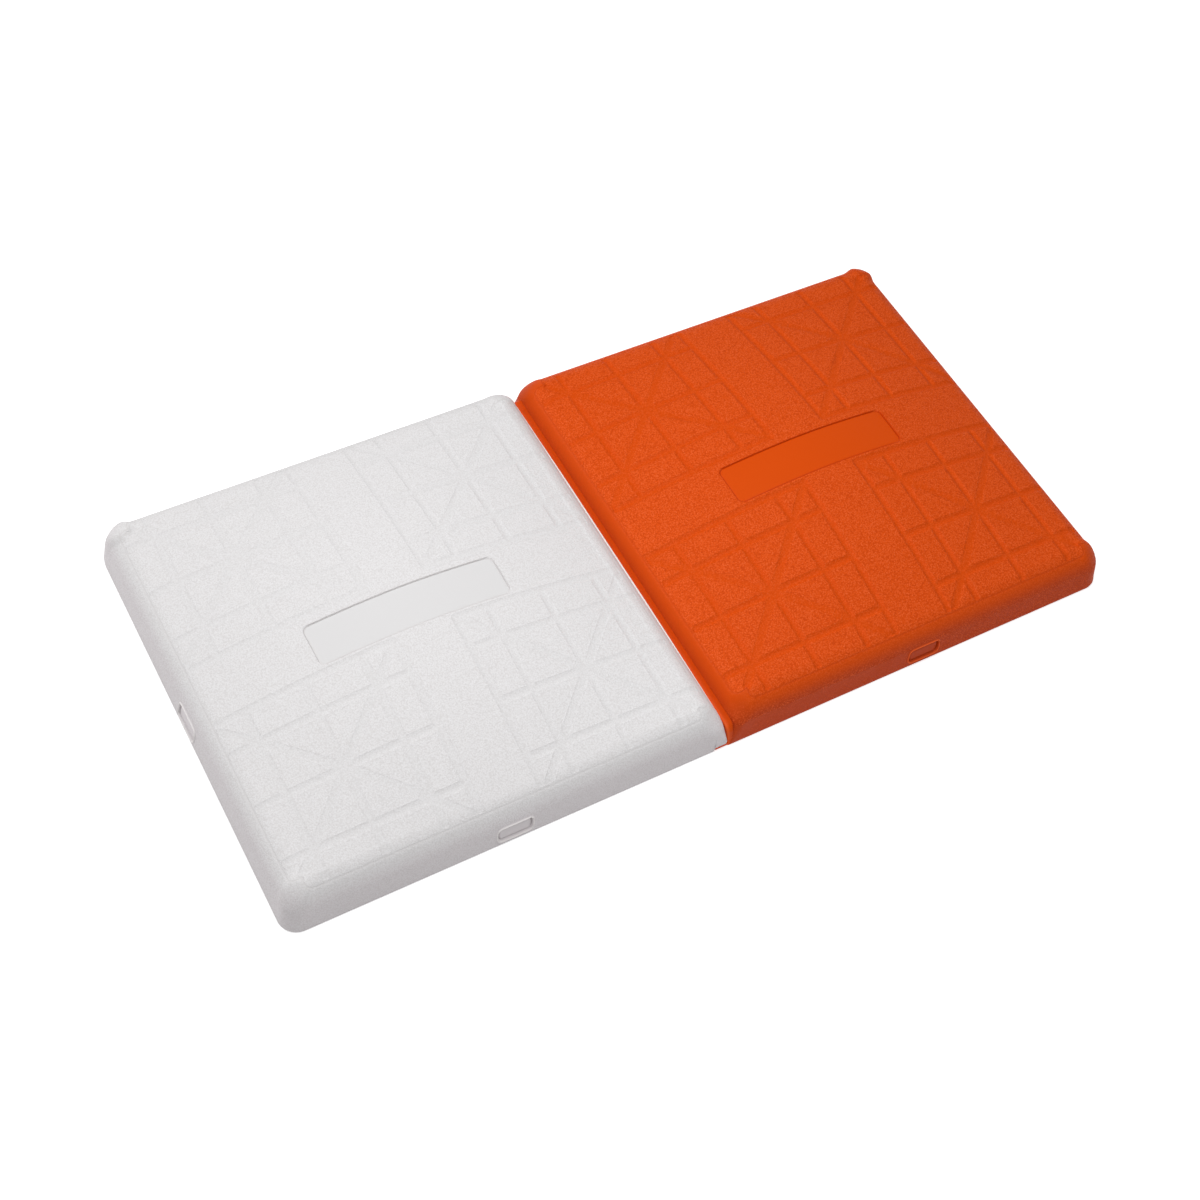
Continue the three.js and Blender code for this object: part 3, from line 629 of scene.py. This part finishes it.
def seam_lip(material):
    """Lip of the orange half: a rounded bar section carried along the seam, with five counterbores that turn
    squares of its underside grid into circles and sink them. Its inner edge runs into the orange rim."""
    steps = np.arange(-6, 7)
    hole = 5.5 * steps / 6
    low_x = JOIN_LINE + hole[::-1]
    over_x = np.array([
        LIP_EDGE + 0.15, LIP_EDGE, LIP_EDGE, LIP_EDGE + 0.15, -11.8, -6, 0.4, 3.0, 3.6, 3.6, 2.8, 0.6,
    ])
    over_z = np.array([0.15, 0.6, 3.9, 4.35, LIP_TOP, LIP_TOP, LIP_TOP, 4.2, 3.4, 1.4, 0.7, 0.05])
    section_x = np.concatenate([low_x, over_x])
    section_z = np.concatenate([np.zeros(len(low_x)), over_z])
    middles = (np.arange(5) - 2) * JOIN_PITCH
    gaps = [np.linspace(a + 5.5, b - 5.5, 10)[1:-1] for a, b in zip(middles[:-1], middles[1:])]
    ends = np.linspace(middles[-1] + 5.5, LIP_HALF_LENGTH - 0.4, 6)[1:]
    stops = np.concatenate([-ends[::-1], *[m + hole for m in middles], *gaps, ends])
    stops = np.concatenate([[-LIP_HALF_LENGTH], np.sort(stops), [LIP_HALF_LENGTH]])
    along, x = np.meshgrid(stops, section_x, indexing="ij")
    z = np.broadcast_to(section_z, x.shape)
    hole_y, line_y = hole_steps(stops, middles, 6)
    hole_x = np.concatenate([steps[::-1], np.full(len(over_x), 99)])
    grid_y, grid_x = np.meshgrid(hole_y, hole_x, indexing="ij")
    ring = np.maximum(np.abs(grid_x), np.abs(grid_y))
    turn_x, turn_y = quarter_turn(grid_x, grid_y)
    radii = [1.5, 2.9, 3.6, COUNTERBORE - 0.05, COUNTERBORE]
    radius = np.select([ring == step for step in range(1, 6)], radii, 0)
    inside = ring <= 5
    y = np.where(inside, line_y[:, None] + turn_y * radius, along)
    x = np.where(inside, JOIN_LINE + turn_x * radius, x)
    z = np.where(ring <= 4, COUNTERBORE_TOP, z)
    x[[0, -1]] += np.clip(-4.5 - x[[0, -1]], -0.35, 0.35)
    z = z.copy()
    z[[0, -1]] += np.clip(2.2 - z[[0, -1]], -0.35, 0.35)
    points = np.stack([x, y, z], -1).reshape(-1, 3)
    rows, columns = x.shape
    index = np.arange(rows * columns).reshape(rows, columns)
    sides = bands(index)
    faces = [sides[:, ::-1], index[:1], index[-1:, ::-1]]
    marks = plain_marks(len(points))
    return piece("orange_lip", points, faces, material, ["orange_cover"], 40, marks)


def seam_flange(material):
    """Edge strip of the orange half in the seam: a section with one rounded corner carried up the back of the
    seam, along its top and down the front. The path is three straight stretches joined by quadratic curves, the
    section stands square to it, outwards being up on the top, and reaches across to the white half's wall."""
    section_share = np.array([0, 0, 0.2, 0.42, 0.6, 0.75, 0.87, 0.95, 1, 1])
    section_out = np.array([-5, 3.2, 1.3, 0.35, 0, -0.05, -0.2, -0.5, -1, -5])
    rise = np.linspace(0.4, FLANGE_TOP - 7, 8)
    low = np.array([HALF_SIDE / 2 - WALL_DRAFT * rise[-1] - FLANGE_SETBACK, rise[-1]])
    turn = np.array([HALF_SIDE / 2 - WALL_DRAFT * FLANGE_TOP - FLANGE_SETBACK, FLANGE_TOP])
    end = turn - (7, 0)
    s = np.linspace(0, 1, 9)[1:, None]
    curve = (1 - s) ** 2 * low + 2 * s * (1 - s) * turn + s ** 2 * end
    wall = np.stack([HALF_SIDE / 2 - WALL_DRAFT * rise - FLANGE_SETBACK, rise], -1)
    back = np.concatenate([wall, curve])
    flat = np.stack([np.linspace(end[0], -end[0], 40)[1:-1], np.full(38, FLANGE_TOP)], -1)
    path = np.concatenate([back, flat, (back * (-1, 1))[::-1]])
    path[:, 0] *= np.where(path[:, 0] > 0, FLANGE_BACK_SHARE, 1)
    ahead = np.gradient(path, axis=0)
    ahead /= np.hypot(ahead[:, 0], ahead[:, 1])[:, None]
    outward = np.stack([ahead[:, 1], -ahead[:, 0]], -1)
    out = np.where(section_out > 0, section_out * np.maximum(outward[:, 1:], 0) ** 4, section_out)
    y = path[:, :1] + outward[:, :1] * out
    z = np.maximum(path[:, 1:] + outward[:, 1:] * out, 0.3)
    inner = HALF_SIDE / 2 - HALF_CENTRE - SEAM_DRAFT * z + 0.15
    x = FLANGE_WIDTH + section_share * (inner - FLANGE_WIDTH)
    points = np.stack([x, y, z], -1).reshape(-1, 3)
    index = np.arange(len(points)).reshape(y.shape)
    sides = bands(index)
    marks = plain_marks(len(points))
    edge_share = np.broadcast_to(section_share, y.shape).ravel()
    # Painted shade: darker on the flange's orange side, down in the seam.
    marks["painted_shade"] = 0.22 * (1 - smooth(0.3, 0.6, edge_share))
    # Painted highlight: the pale tone on the flange's side against the white half.
    marks["rim"] = 0.6 * smooth(0.5, 0.75, edge_share)
    faces = [sides[:, ::-1], index[:1], index[-1:, ::-1]]
    return piece("orange_flange", points, faces, material, ["orange_cover"], 40, marks)


def seam_bead(material):
    """Fine bead on the white half's seam shoulder: a circle carried along the seam, its radius falling off to
    the ends as a cosine."""
    lean = math.atan(SEAM_DRAFT)
    wall_top = SHOULDER_HEIGHT - SHOULDER_RADIUS * (math.sin(SWEEP) - math.sin(lean))
    inset = SEAM_DRAFT * wall_top + SHOULDER_RADIUS * (math.cos(lean) - math.cos(BEAD_ANGLE))
    height = wall_top + SHOULDER_RADIUS * (math.sin(BEAD_ANGLE) - math.sin(lean))
    along = np.linspace(-BEAD_REACH, BEAD_REACH, 60)
    radius = SEAM_BEAD * np.minimum(1, 1.2 * np.cos(0.5 * math.pi * along / BEAD_REACH) + 0.04)
    turn = np.arange(12) / 12 * 2 * math.pi
    x = HALF_CENTRE - HALF_SIDE / 2 + inset - radius[:, None] * np.cos(turn)
    z = height + radius[:, None] * np.sin(turn)
    y = np.broadcast_to(along[:, None], x.shape)
    points = np.stack([-x, y, z], -1).reshape(-1, 3)
    index = np.arange(len(points)).reshape(x.shape)
    sides = bands(index)
    marks = plain_marks(len(points))
    # Painted highlight: the whole bead in the pale tone.
    marks["rim"] = np.ones(len(points))
    faces = [sides, index[:1], index[-1:, ::-1]]
    return piece("white_seam_bead", points, faces, material, ["white_cover"], 40, marks)


def node_group(name, inputs, outputs):
    """Empty shader group with float inputs, given with their usual values, and named outputs."""
    tree = bpy.data.node_groups.new(name, "ShaderNodeTree")
    for label, value in inputs.items():
        tree.interface.new_socket(label, in_out="INPUT", socket_type="NodeSocketFloat").default_value = value
    for label in outputs:
        tree.interface.new_socket(label, in_out="OUTPUT", socket_type="NodeSocketFloat")
    return tree, tree.nodes.new("NodeGroupInput"), tree.nodes.new("NodeGroupOutput")


def feed(tree, socket, value):
    """Link an output to an input socket, or set the socket to a plain value."""
    if isinstance(value, bpy.types.NodeSocket):
        tree.links.new(value, socket)
    else:
        socket.default_value = value


def add_node(tree, kind, links=None, **settings):
    """Shader node with its settings; links maps input sockets to output sockets or plain values."""
    node = tree.nodes.new(kind)
    for label, value in settings.items():
        setattr(node, label, value)
    for label, value in (links or {}).items():
        feed(tree, node.inputs[label], value)
    return node


def math_node(tree, operation, first, second=None, clamp=False):
    """Result of a math node on two sockets or values."""
    links = {0: first} if second is None else {0: first, 1: second}
    return add_node(tree, "ShaderNodeMath", links, operation=operation, use_clamp=clamp).outputs[0]


def times(tree, first, second):
    """Product of two sockets or values."""
    return math_node(tree, "MULTIPLY", first, second)


def stretch(tree, value, low, high, to_low=0.0, to_high=1.0):
    """Value mapped from one range to another, held at both ends."""
    links = {"Value": value, "From Min": low, "From Max": high, "To Min": to_low, "To Max": to_high}
    return add_node(tree, "ShaderNodeMapRange", links).outputs["Result"]


def blend_colour(tree, share, first, second):
    """Mix of two colours by a share."""
    return add_node(tree, "ShaderNodeMix", {0: share, 6: first, 7: second}, data_type="RGBA").outputs[2]


def mark(tree, label):
    """Named mark of the mesh as a value."""
    return add_node(tree, "ShaderNodeAttribute", attribute_name=label).outputs["Fac"]


def directly_seen(tree):
    """1 for camera, glossy and transmission rays, 0 for light that bounces on."""
    path = add_node(tree, "ShaderNodeLightPath").outputs
    seen = math_node(tree, "MAXIMUM", path["Is Camera Ray"], path["Is Glossy Ray"])
    return math_node(tree, "MAXIMUM", seen, path["Is Transmission Ray"])


def put_relief(tree, shader, height, strength, distance, invert=False):
    """Relief from a height, put on the shader's normal; the distance is in metres."""
    links = {"Height": height, "Strength": strength, "Distance": distance}
    relief = add_node(tree, "ShaderNodeBump", links, invert=invert)
    tree.links.new(relief.outputs["Normal"], shader.inputs["Normal"])


def pebble_grain_group():
    """Moulded pebble grain: rounded cells of a smoothed cell pattern, wandered by noise, with finer noise on
    top. Height is the relief, Crest is high on the pebbles' tops and Valley in the gaps between them."""
    tree, given, put = node_group("pebble_grain", {"Pitch": 700.0, "Wander": 0.5}, ("Height", "Crest", "Valley"))
    place = add_node(tree, "ShaderNodeTexCoord").outputs["Object"]
    coarse = times(tree, given.outputs["Pitch"], 0.55)
    drift = add_node(tree, "ShaderNodeTexNoise", {"Vector": place, "Scale": coarse, "Detail": 1.0})
    centred = add_node(
        tree, "ShaderNodeVectorMath", {0: drift.outputs["Color"], 1: (0.5, 0.5, 0.5)}, operation="SUBTRACT"
    )
    reach = math_node(tree, "DIVIDE", given.outputs["Wander"], given.outputs["Pitch"])
    moved = add_node(
        tree, "ShaderNodeVectorMath", {0: centred.outputs[0], "Scale": reach}, operation="SCALE"
    )
    wandered = add_node(tree, "ShaderNodeVectorMath", {0: place, 1: moved.outputs[0]}, operation="ADD")
    links = {"Vector": wandered.outputs[0], "Scale": given.outputs["Pitch"], "Smoothness": 0.5}
    cells = add_node(tree, "ShaderNodeTexVoronoi", links, feature="SMOOTH_F1")
    fine = times(tree, given.outputs["Pitch"], 1.3)
    speck = add_node(tree, "ShaderNodeTexNoise", {"Vector": place, "Scale": fine, "Detail": 2.0, "Roughness": 0.6})
    dome = stretch(tree, cells.outputs["Distance"], 0.05, 0.75, 1.0, 0.0)
    soft = stretch(tree, speck.outputs["Fac"], 0.25, 0.75, 0.0, 1.0)
    height = math_node(tree, "ADD", times(tree, dome, 0.6), times(tree, soft, 0.4))
    tree.links.new(height, put.inputs["Height"])
    tree.links.new(stretch(tree, height, 0.45, 0.75), put.inputs["Crest"])
    tree.links.new(stretch(tree, height, 0.15, 0.45, 1.0, 0.0), put.inputs["Valley"])
    return tree


def mottle_group():
    """Slow unevenness of a finish: two sizes of cloudy noise. Shade varies broadly, Scuff picks out few spots."""
    tree, given, put = node_group("finish_mottle", {"Size": 8.0}, ("Shade", "Scuff"))
    place = add_node(tree, "ShaderNodeTexCoord").outputs["Object"]
    broad = add_node(tree, "ShaderNodeTexNoise", {"Vector": place, "Scale": given.outputs["Size"], "Detail": 3.0})
    close = times(tree, given.outputs["Size"], 9.0)
    links = {"Vector": place, "Scale": close, "Detail": 4.0, "Roughness": 0.65}
    spots = add_node(tree, "ShaderNodeTexNoise", links)
    tree.links.new(stretch(tree, broad.outputs["Fac"], 0.3, 0.7), put.inputs["Shade"])
    tree.links.new(stretch(tree, spots.outputs["Fac"], 0.52, 0.72), put.inputs["Scuff"])
    return tree


def metal_grain_group():
    """Metal finish: crystal cells of even tone with fine rolling lines. Tone is each cell's own brightness,
    Height the lines' relief."""
    tree, given, put = node_group("metal_grain", {"Cell": 120.0, "Line": 900.0}, ("Tone", "Height"))
    place = add_node(tree, "ShaderNodeTexCoord").outputs["Object"]
    cells = add_node(tree, "ShaderNodeTexVoronoi", {"Vector": place, "Scale": given.outputs["Cell"]})
    grey = add_node(tree, "ShaderNodeRGBToBW", {"Color": cells.outputs["Color"]})
    drawn = add_node(tree, "ShaderNodeMapping", {"Vector": place, "Scale": (1.0, 0.05, 1.0)})
    links = {"Vector": drawn.outputs["Vector"], "Scale": given.outputs["Line"], "Detail": 2.0}
    rolled = add_node(tree, "ShaderNodeTexNoise", links)
    tree.links.new(grey.outputs["Val"], put.inputs["Tone"])
    tree.links.new(rolled.outputs["Fac"], put.inputs["Height"])
    return tree


def bare_material(name):
    """Material with its Principled shader, ready for links."""
    made = bpy.data.materials.new(name)
    made.use_nodes = True
    return made, made.node_tree, made.node_tree.nodes["Principled BSDF"]


def group_node(tree, group, **values):
    """Shared group placed in a material with its own values."""
    node = add_node(tree, "ShaderNodeGroup", node_tree=group)
    for label, value in values.items():
        node.inputs[label].default_value = value
    return node


def rubber_material(name, tones, lined):
    """Moulded rubber: pebble relief on the pads with a painted highlight on the crests and painted shade in the
    gaps, plain smooth channel floors between crisp walls with painted shade down their middles, painted shade in
    creases, round the panel and pockets and along the seam, a painted highlight on moulded rims and beads, painted
    shade on the side walls and a slow mottle in tone and gloss. Lined is how strongly the channels differ in tone
    from the pads."""
    # Tones: pads, channel floors, painted highlight of crests, painted shade of dark lines, painted highlight of
    # rims, painted shade of side walls.
    colour, floor, glint_tone, dark, highlight_tone, wall = tones
    made, tree, shader = bare_material(name)
    shader.inputs["Specular IOR Level"].default_value = 0.08
    pebble = group_node(tree, PEBBLE, Pitch=800.0, Wander=0.8)
    mottle = group_node(tree, MOTTLE, Size=7.0)
    grain, painted_shade, channel, rim, side = (mark(tree, label) for label in SMOOTH_MARKS)
    pad = stretch(tree, channel, 2.6, 3.6)
    pebbled = times(tree, grain, stretch(tree, channel, 2.0, 4.0, 1 - 0.4 * lined, 1.0))
    tone = blend_colour(tree, times(tree, mottle.outputs["Shade"], 0.2), colour, floor)
    toned = stretch(tree, pad, 0, 1, 1 - lined, 1)
    tone = blend_colour(tree, times(tree, toned, grain), floor, tone)
    # Painted shade: side walls in the wall tone, darker on the orange half and pinker on the white.
    tone = blend_colour(tree, side, tone, wall)
    # Painted highlight: pale glints laid on the pebbles' crests.
    tone = blend_colour(tree, times(tree, pebble.outputs["Crest"], pebbled), tone, glint_tone)
    # Painted shade: the dark tone laid in the gaps between pebbles.
    gaps = times(tree, times(tree, pebble.outputs["Valley"], pebbled), 0.5)
    # Painted shade: the dark tone laid down the middle of each channel.
    channel_shade = stretch(tree, channel, 0.4, 2.4, 0.08 * lined, 0.0)
    lines = times(tree, math_node(tree, "MAXIMUM", painted_shade, channel_shade), 0.85)
    # Painted shade: the dark tone blended in by gaps, lines and channel middles.
    tone = blend_colour(tree, math_node(tree, "MAXIMUM", gaps, lines), tone, dark)
    # Painted highlight: the pale tone on rims and beads.
    tone = blend_colour(tree, rim, tone, highlight_tone)
    tree.links.new(tone, shader.inputs["Base Color"])
    scuffed = times(tree, mottle.outputs["Scuff"], 0.08)
    rough = math_node(tree, "ADD", stretch(tree, grain, 0, 1, 0.46, 0.6), scuffed)
    tree.links.new(rough, shader.inputs["Roughness"])
    relief = times(tree, times(tree, pebble.outputs["Height"], pebbled), PEBBLE_HEIGHT)
    lip = math_node(tree, "MINIMUM", stretch(tree, channel, 3.3, 3.9), stretch(tree, channel, 3.9, 4.6, 1.0, 0.0))
    step = math_node(tree, "ADD", times(tree, pad, WALL_STEP), times(tree, lip, EDGE_LIP))
    height = math_node(tree, "ADD", relief, step)
    put_relief(tree, shader, height, 1.0, 0.001)
    return made


def foam_material():
    """Closed-cell foam: dull, with fine open cells at its cut skin and an uneven tone."""
    made, tree, shader = bare_material("closed_cell_foam")
    pebble = group_node(tree, PEBBLE, Pitch=900.0, Wander=0.9)
    mottle = group_node(tree, MOTTLE, Size=12.0)
    tone = blend_colour(tree, mottle.outputs["Shade"], (0.04, 0.041, 0.045, 1), (0.06, 0.06, 0.064, 1))
    tree.links.new(tone, shader.inputs["Base Color"])
    shader.inputs["Roughness"].default_value = 0.95
    put_relief(tree, shader, pebble.outputs["Height"], 0.6, 0.0005, True)
    return made


def metal_material(name, light, dark, rough, cell, line, relief):
    """Metal: crystal cells between two tones, rolling lines as slight relief, and scuffs that dull it."""
    made, tree, shader = bare_material(name)
    grain = group_node(tree, METAL, Cell=cell, Line=line)
    mottle = group_node(tree, MOTTLE, Size=14.0)
    shade = times(tree, mottle.outputs["Shade"], 0.4)
    share = math_node(tree, "ADD", times(tree, grain.outputs["Tone"], 0.6), shade, True)
    tree.links.new(blend_colour(tree, share, light, dark), shader.inputs["Base Color"])
    dulled = times(tree, mottle.outputs["Scuff"], 0.18)
    spread = stretch(tree, grain.outputs["Tone"], 0, 1, rough - 0.06, rough + 0.06)
    tree.links.new(math_node(tree, "ADD", spread, dulled), shader.inputs["Roughness"])
    shader.inputs["Metallic"].default_value = 1.0
    put_relief(tree, shader, grain.outputs["Height"], relief, 0.0002)
    return made


def floor_material():
    """Pale floor: lit diffuse white, lifted for camera, glossy and transmission rays so that it reads white
    with the object's shadow left on it, and seen through from below."""
    made = bpy.data.materials.new("pale_floor")
    made.use_nodes = True
    tree = made.node_tree
    tree.nodes.clear()
    seen = directly_seen(tree)
    colour = blend_colour(tree, seen, FLOOR_BOUNCE, FLOOR_WHITE)
    lit = add_node(tree, "ShaderNodeBsdfDiffuse", {"Color": colour})
    lift = times(tree, seen, FLOOR_LIFT)
    lift = add_node(tree, "ShaderNodeEmission", {"Color": (1, 1, 1, 1), "Strength": lift})
    both = add_node(tree, "ShaderNodeAddShader", {0: lit.outputs[0], 1: lift.outputs[0]})
    clear = add_node(tree, "ShaderNodeBsdfTransparent")
    back = add_node(tree, "ShaderNodeNewGeometry").outputs["Backfacing"]
    sides = add_node(tree, "ShaderNodeMixShader", {0: back, 1: both.outputs[0], 2: clear.outputs[0]})
    put = add_node(tree, "ShaderNodeOutputMaterial")
    tree.links.new(sides.outputs[0], put.inputs["Surface"])
    return made


def set_out(made, right, up, back, place):
    """Object turned to three axes and put in its place."""
    made.matrix_world = Matrix([[right[i], up[i], back[i], place[i]] for i in range(3)] + [[0, 0, 0, 1]])
    bpy.context.scene.collection.objects.link(made)


def soft_lamp(name, place, aim, size, power):
    """Square soft lamp at a place, turned to face its aim."""
    lamp = bpy.data.lights.new(name, "AREA")
    lamp.size = size
    lamp.energy = power
    made = bpy.data.objects.new(name, lamp)
    made.visible_camera = False
    back = np.array(place, float) - np.array(aim, float)
    back /= np.linalg.norm(back)
    right = np.cross((0.0, 1.0, 0.0), back)
    right /= np.linalg.norm(right)
    set_out(made, right, np.cross(back, right), back, place)


# Finishes
FLOOR_WHITE = (0.9, 0.9, 0.9, 1)
FLOOR_BOUNCE = (0.8, 0.8, 0.8, 1)
FLOOR_LIFT = 0.58
FLOOR_HALF = 20.0
FLOOR_LEVEL = -0.0004
PEBBLE_HEIGHT = 0.2
WALL_STEP = 0.15
EDGE_LIP = 0.1
PEBBLE = pebble_grain_group()
MOTTLE = mottle_group()
METAL = metal_grain_group()
# Tones of a rubber: pads, channel floors, painted highlight of grain crests, painted shade of dark lines and gaps,
# painted highlight of rims, painted shade of side walls
white_tones = (
    (0.77, 0.755, 0.758, 1), (0.735, 0.725, 0.727, 1), (0.82, 0.81, 0.82, 1), (0.64, 0.615, 0.61, 1),
    (0.96, 0.93, 0.91, 1), (0.78, 0.735, 0.75, 1),
)
orange_tones = (
    (0.725, 0.079, 0.004, 1), (0.7, 0.073, 0.001, 1), (0.82, 0.124, 0.03, 1), (0.46, 0.036, 0.001, 1),
    (0.92, 0.14, 0.03, 1), (0.54, 0.057, 0.007, 1),
)
white_rubber = rubber_material("white_rubber", white_tones, 0.4)
orange_rubber = rubber_material("orange_rubber", orange_tones, 1.0)
closed_cell_foam = foam_material()
galvanised = metal_material(
    "galvanised_sheet", (0.62, 0.64, 0.66, 1), (0.42, 0.44, 0.47, 1),
    rough=0.38, cell=90.0, line=700.0, relief=0.15,
)
mill_plate = metal_material(
    "mill_plate", (0.16, 0.165, 0.175, 1), (0.09, 0.095, 0.105, 1),
    rough=0.52, cell=220.0, line=500.0, relief=0.3,
)
bright_zinc = metal_material(
    "bright_zinc", (0.72, 0.73, 0.74, 1), (0.55, 0.56, 0.6, 1),
    rough=0.28, cell=900.0, line=2400.0, relief=0.12,
)

# Halves: name, side, edge of the rebate over the lip, channel depth, polish of the shoulder, rubber
halves = (
    ("white", -1, REBATE_EDGE + HALF_CENTRE, WHITE_GROOVE_DEPTH, 0.2, white_rubber),
    ("orange", 1, None, ORANGE_GROOVE_DEPTH, 0.9, orange_rubber),
)
for half, side, rebate, depth, polish, rubber in halves:
    centre = side * HALF_CENTRE
    ring = rubber_cover(half, centre, -side, rebate, depth, polish, rubber)
    foam_core(half, centre, ring, closed_cell_foam)
    steel_pan(half, centre, galvanised)
    spots = [(i, j) for i in (-1, 0, 1) for j in (-1, 0, 1) if i or j]
    for number, (i, j) in enumerate(spots, 1):
        name = f"{half}_pan_screw_{number}"
        turned_screw(name, centre + i * LEDGE_CENTRE, j * LEDGE_CENTRE, PAN_LOW - SEAT, bright_zinc)
    fittings = [(f"{half}_anchor_plate", mill_plate)]
    fittings += [(f"{half}_anchor_nut_{number}", bright_zinc) for number in range(1, 5)]
    for node, finish in fittings:
        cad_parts[node].data.materials.clear()
        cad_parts[node].data.materials.append(finish)
seam_lip(orange_rubber)
seam_flange(orange_rubber)
seam_bead(white_rubber)
for number in range(5):
    name = f"join_screw_{number + 1}"
    turned_screw(name, JOIN_LINE, (number - 2) * JOIN_PITCH, COUNTERBORE_TOP - SEAT, bright_zinc)

# Floor, light and camera
floor_mesh = bpy.data.meshes.new("floor")
corners = ((-1, -1), (1, -1), (1, 1), (-1, 1))
floor_mesh.from_pydata([(FLOOR_HALF * x, FLOOR_HALF * y, FLOOR_LEVEL) for x, y in corners], [], [(0, 1, 2, 3)])
floor_mesh.materials.append(floor_material())
floor = bpy.data.objects.new("floor", floor_mesh)
bpy.context.scene.collection.objects.link(floor)

AMBIENT = 0.42
soft_lamp("raking_lamp", (-0.95, 0.89, 1.09), (0, 0, 0.05), 0.45, 7.7)
soft_lamp("overhead_lamp", (-0.04, -0.12, 0.92), (-0.04, -0.11, 0.05), 0.6, 4.0)

world = bpy.data.worlds.new("studio")
bpy.context.scene.world = world
world.use_nodes = True
sky = world.node_tree
sky.nodes.clear()
strength = stretch(sky, directly_seen(sky), 0, 1, AMBIENT, 1.0)
background = add_node(sky, "ShaderNodeBackground", {"Color": (1, 1, 1, 1), "Strength": strength})
sky_out = add_node(sky, "ShaderNodeOutputWorld")
sky.links.new(background.outputs[0], sky_out.inputs["Surface"])

# Camera, solved for the photo: azimuth, elevation and roll in degrees, distances in metres, pixels of 1200
AZIMUTH, ELEVATION, ROLL = (math.radians(angle) for angle in (-35.445, 53.21, 9.288))
TARGET = np.array([-0.01317, 0.12671, -0.071014])
DISTANCE = 1.7485
FRAME_PIXELS = 1200
FOCAL_PIXELS = 1943.4
PRINCIPAL_POINT = (517.9, 509.6)
SENSOR = 36.0

back = np.array([
    math.sin(AZIMUTH) * math.cos(ELEVATION), -math.cos(AZIMUTH) * math.cos(ELEVATION), math.sin(ELEVATION)
])
level = np.cross(-back, (0.0, 0.0, 1.0))
level /= np.linalg.norm(level)
upright = np.cross(level, -back)
right = math.cos(ROLL) * level + math.sin(ROLL) * upright
up = -math.sin(ROLL) * level + math.cos(ROLL) * upright
lens = bpy.data.cameras.new("photo_camera")
lens.sensor_width = SENSOR
lens.lens = FOCAL_PIXELS * SENSOR / FRAME_PIXELS
lens.shift_x = (FRAME_PIXELS / 2 - PRINCIPAL_POINT[0]) / FRAME_PIXELS
lens.shift_y = (PRINCIPAL_POINT[1] - FRAME_PIXELS / 2) / FRAME_PIXELS
camera = bpy.data.objects.new("photo_camera", lens)
set_out(camera, right, up, back, TARGET + back * DISTANCE)
bpy.context.scene.camera = camera
bpy.context.scene.view_settings.view_transform = "Standard"
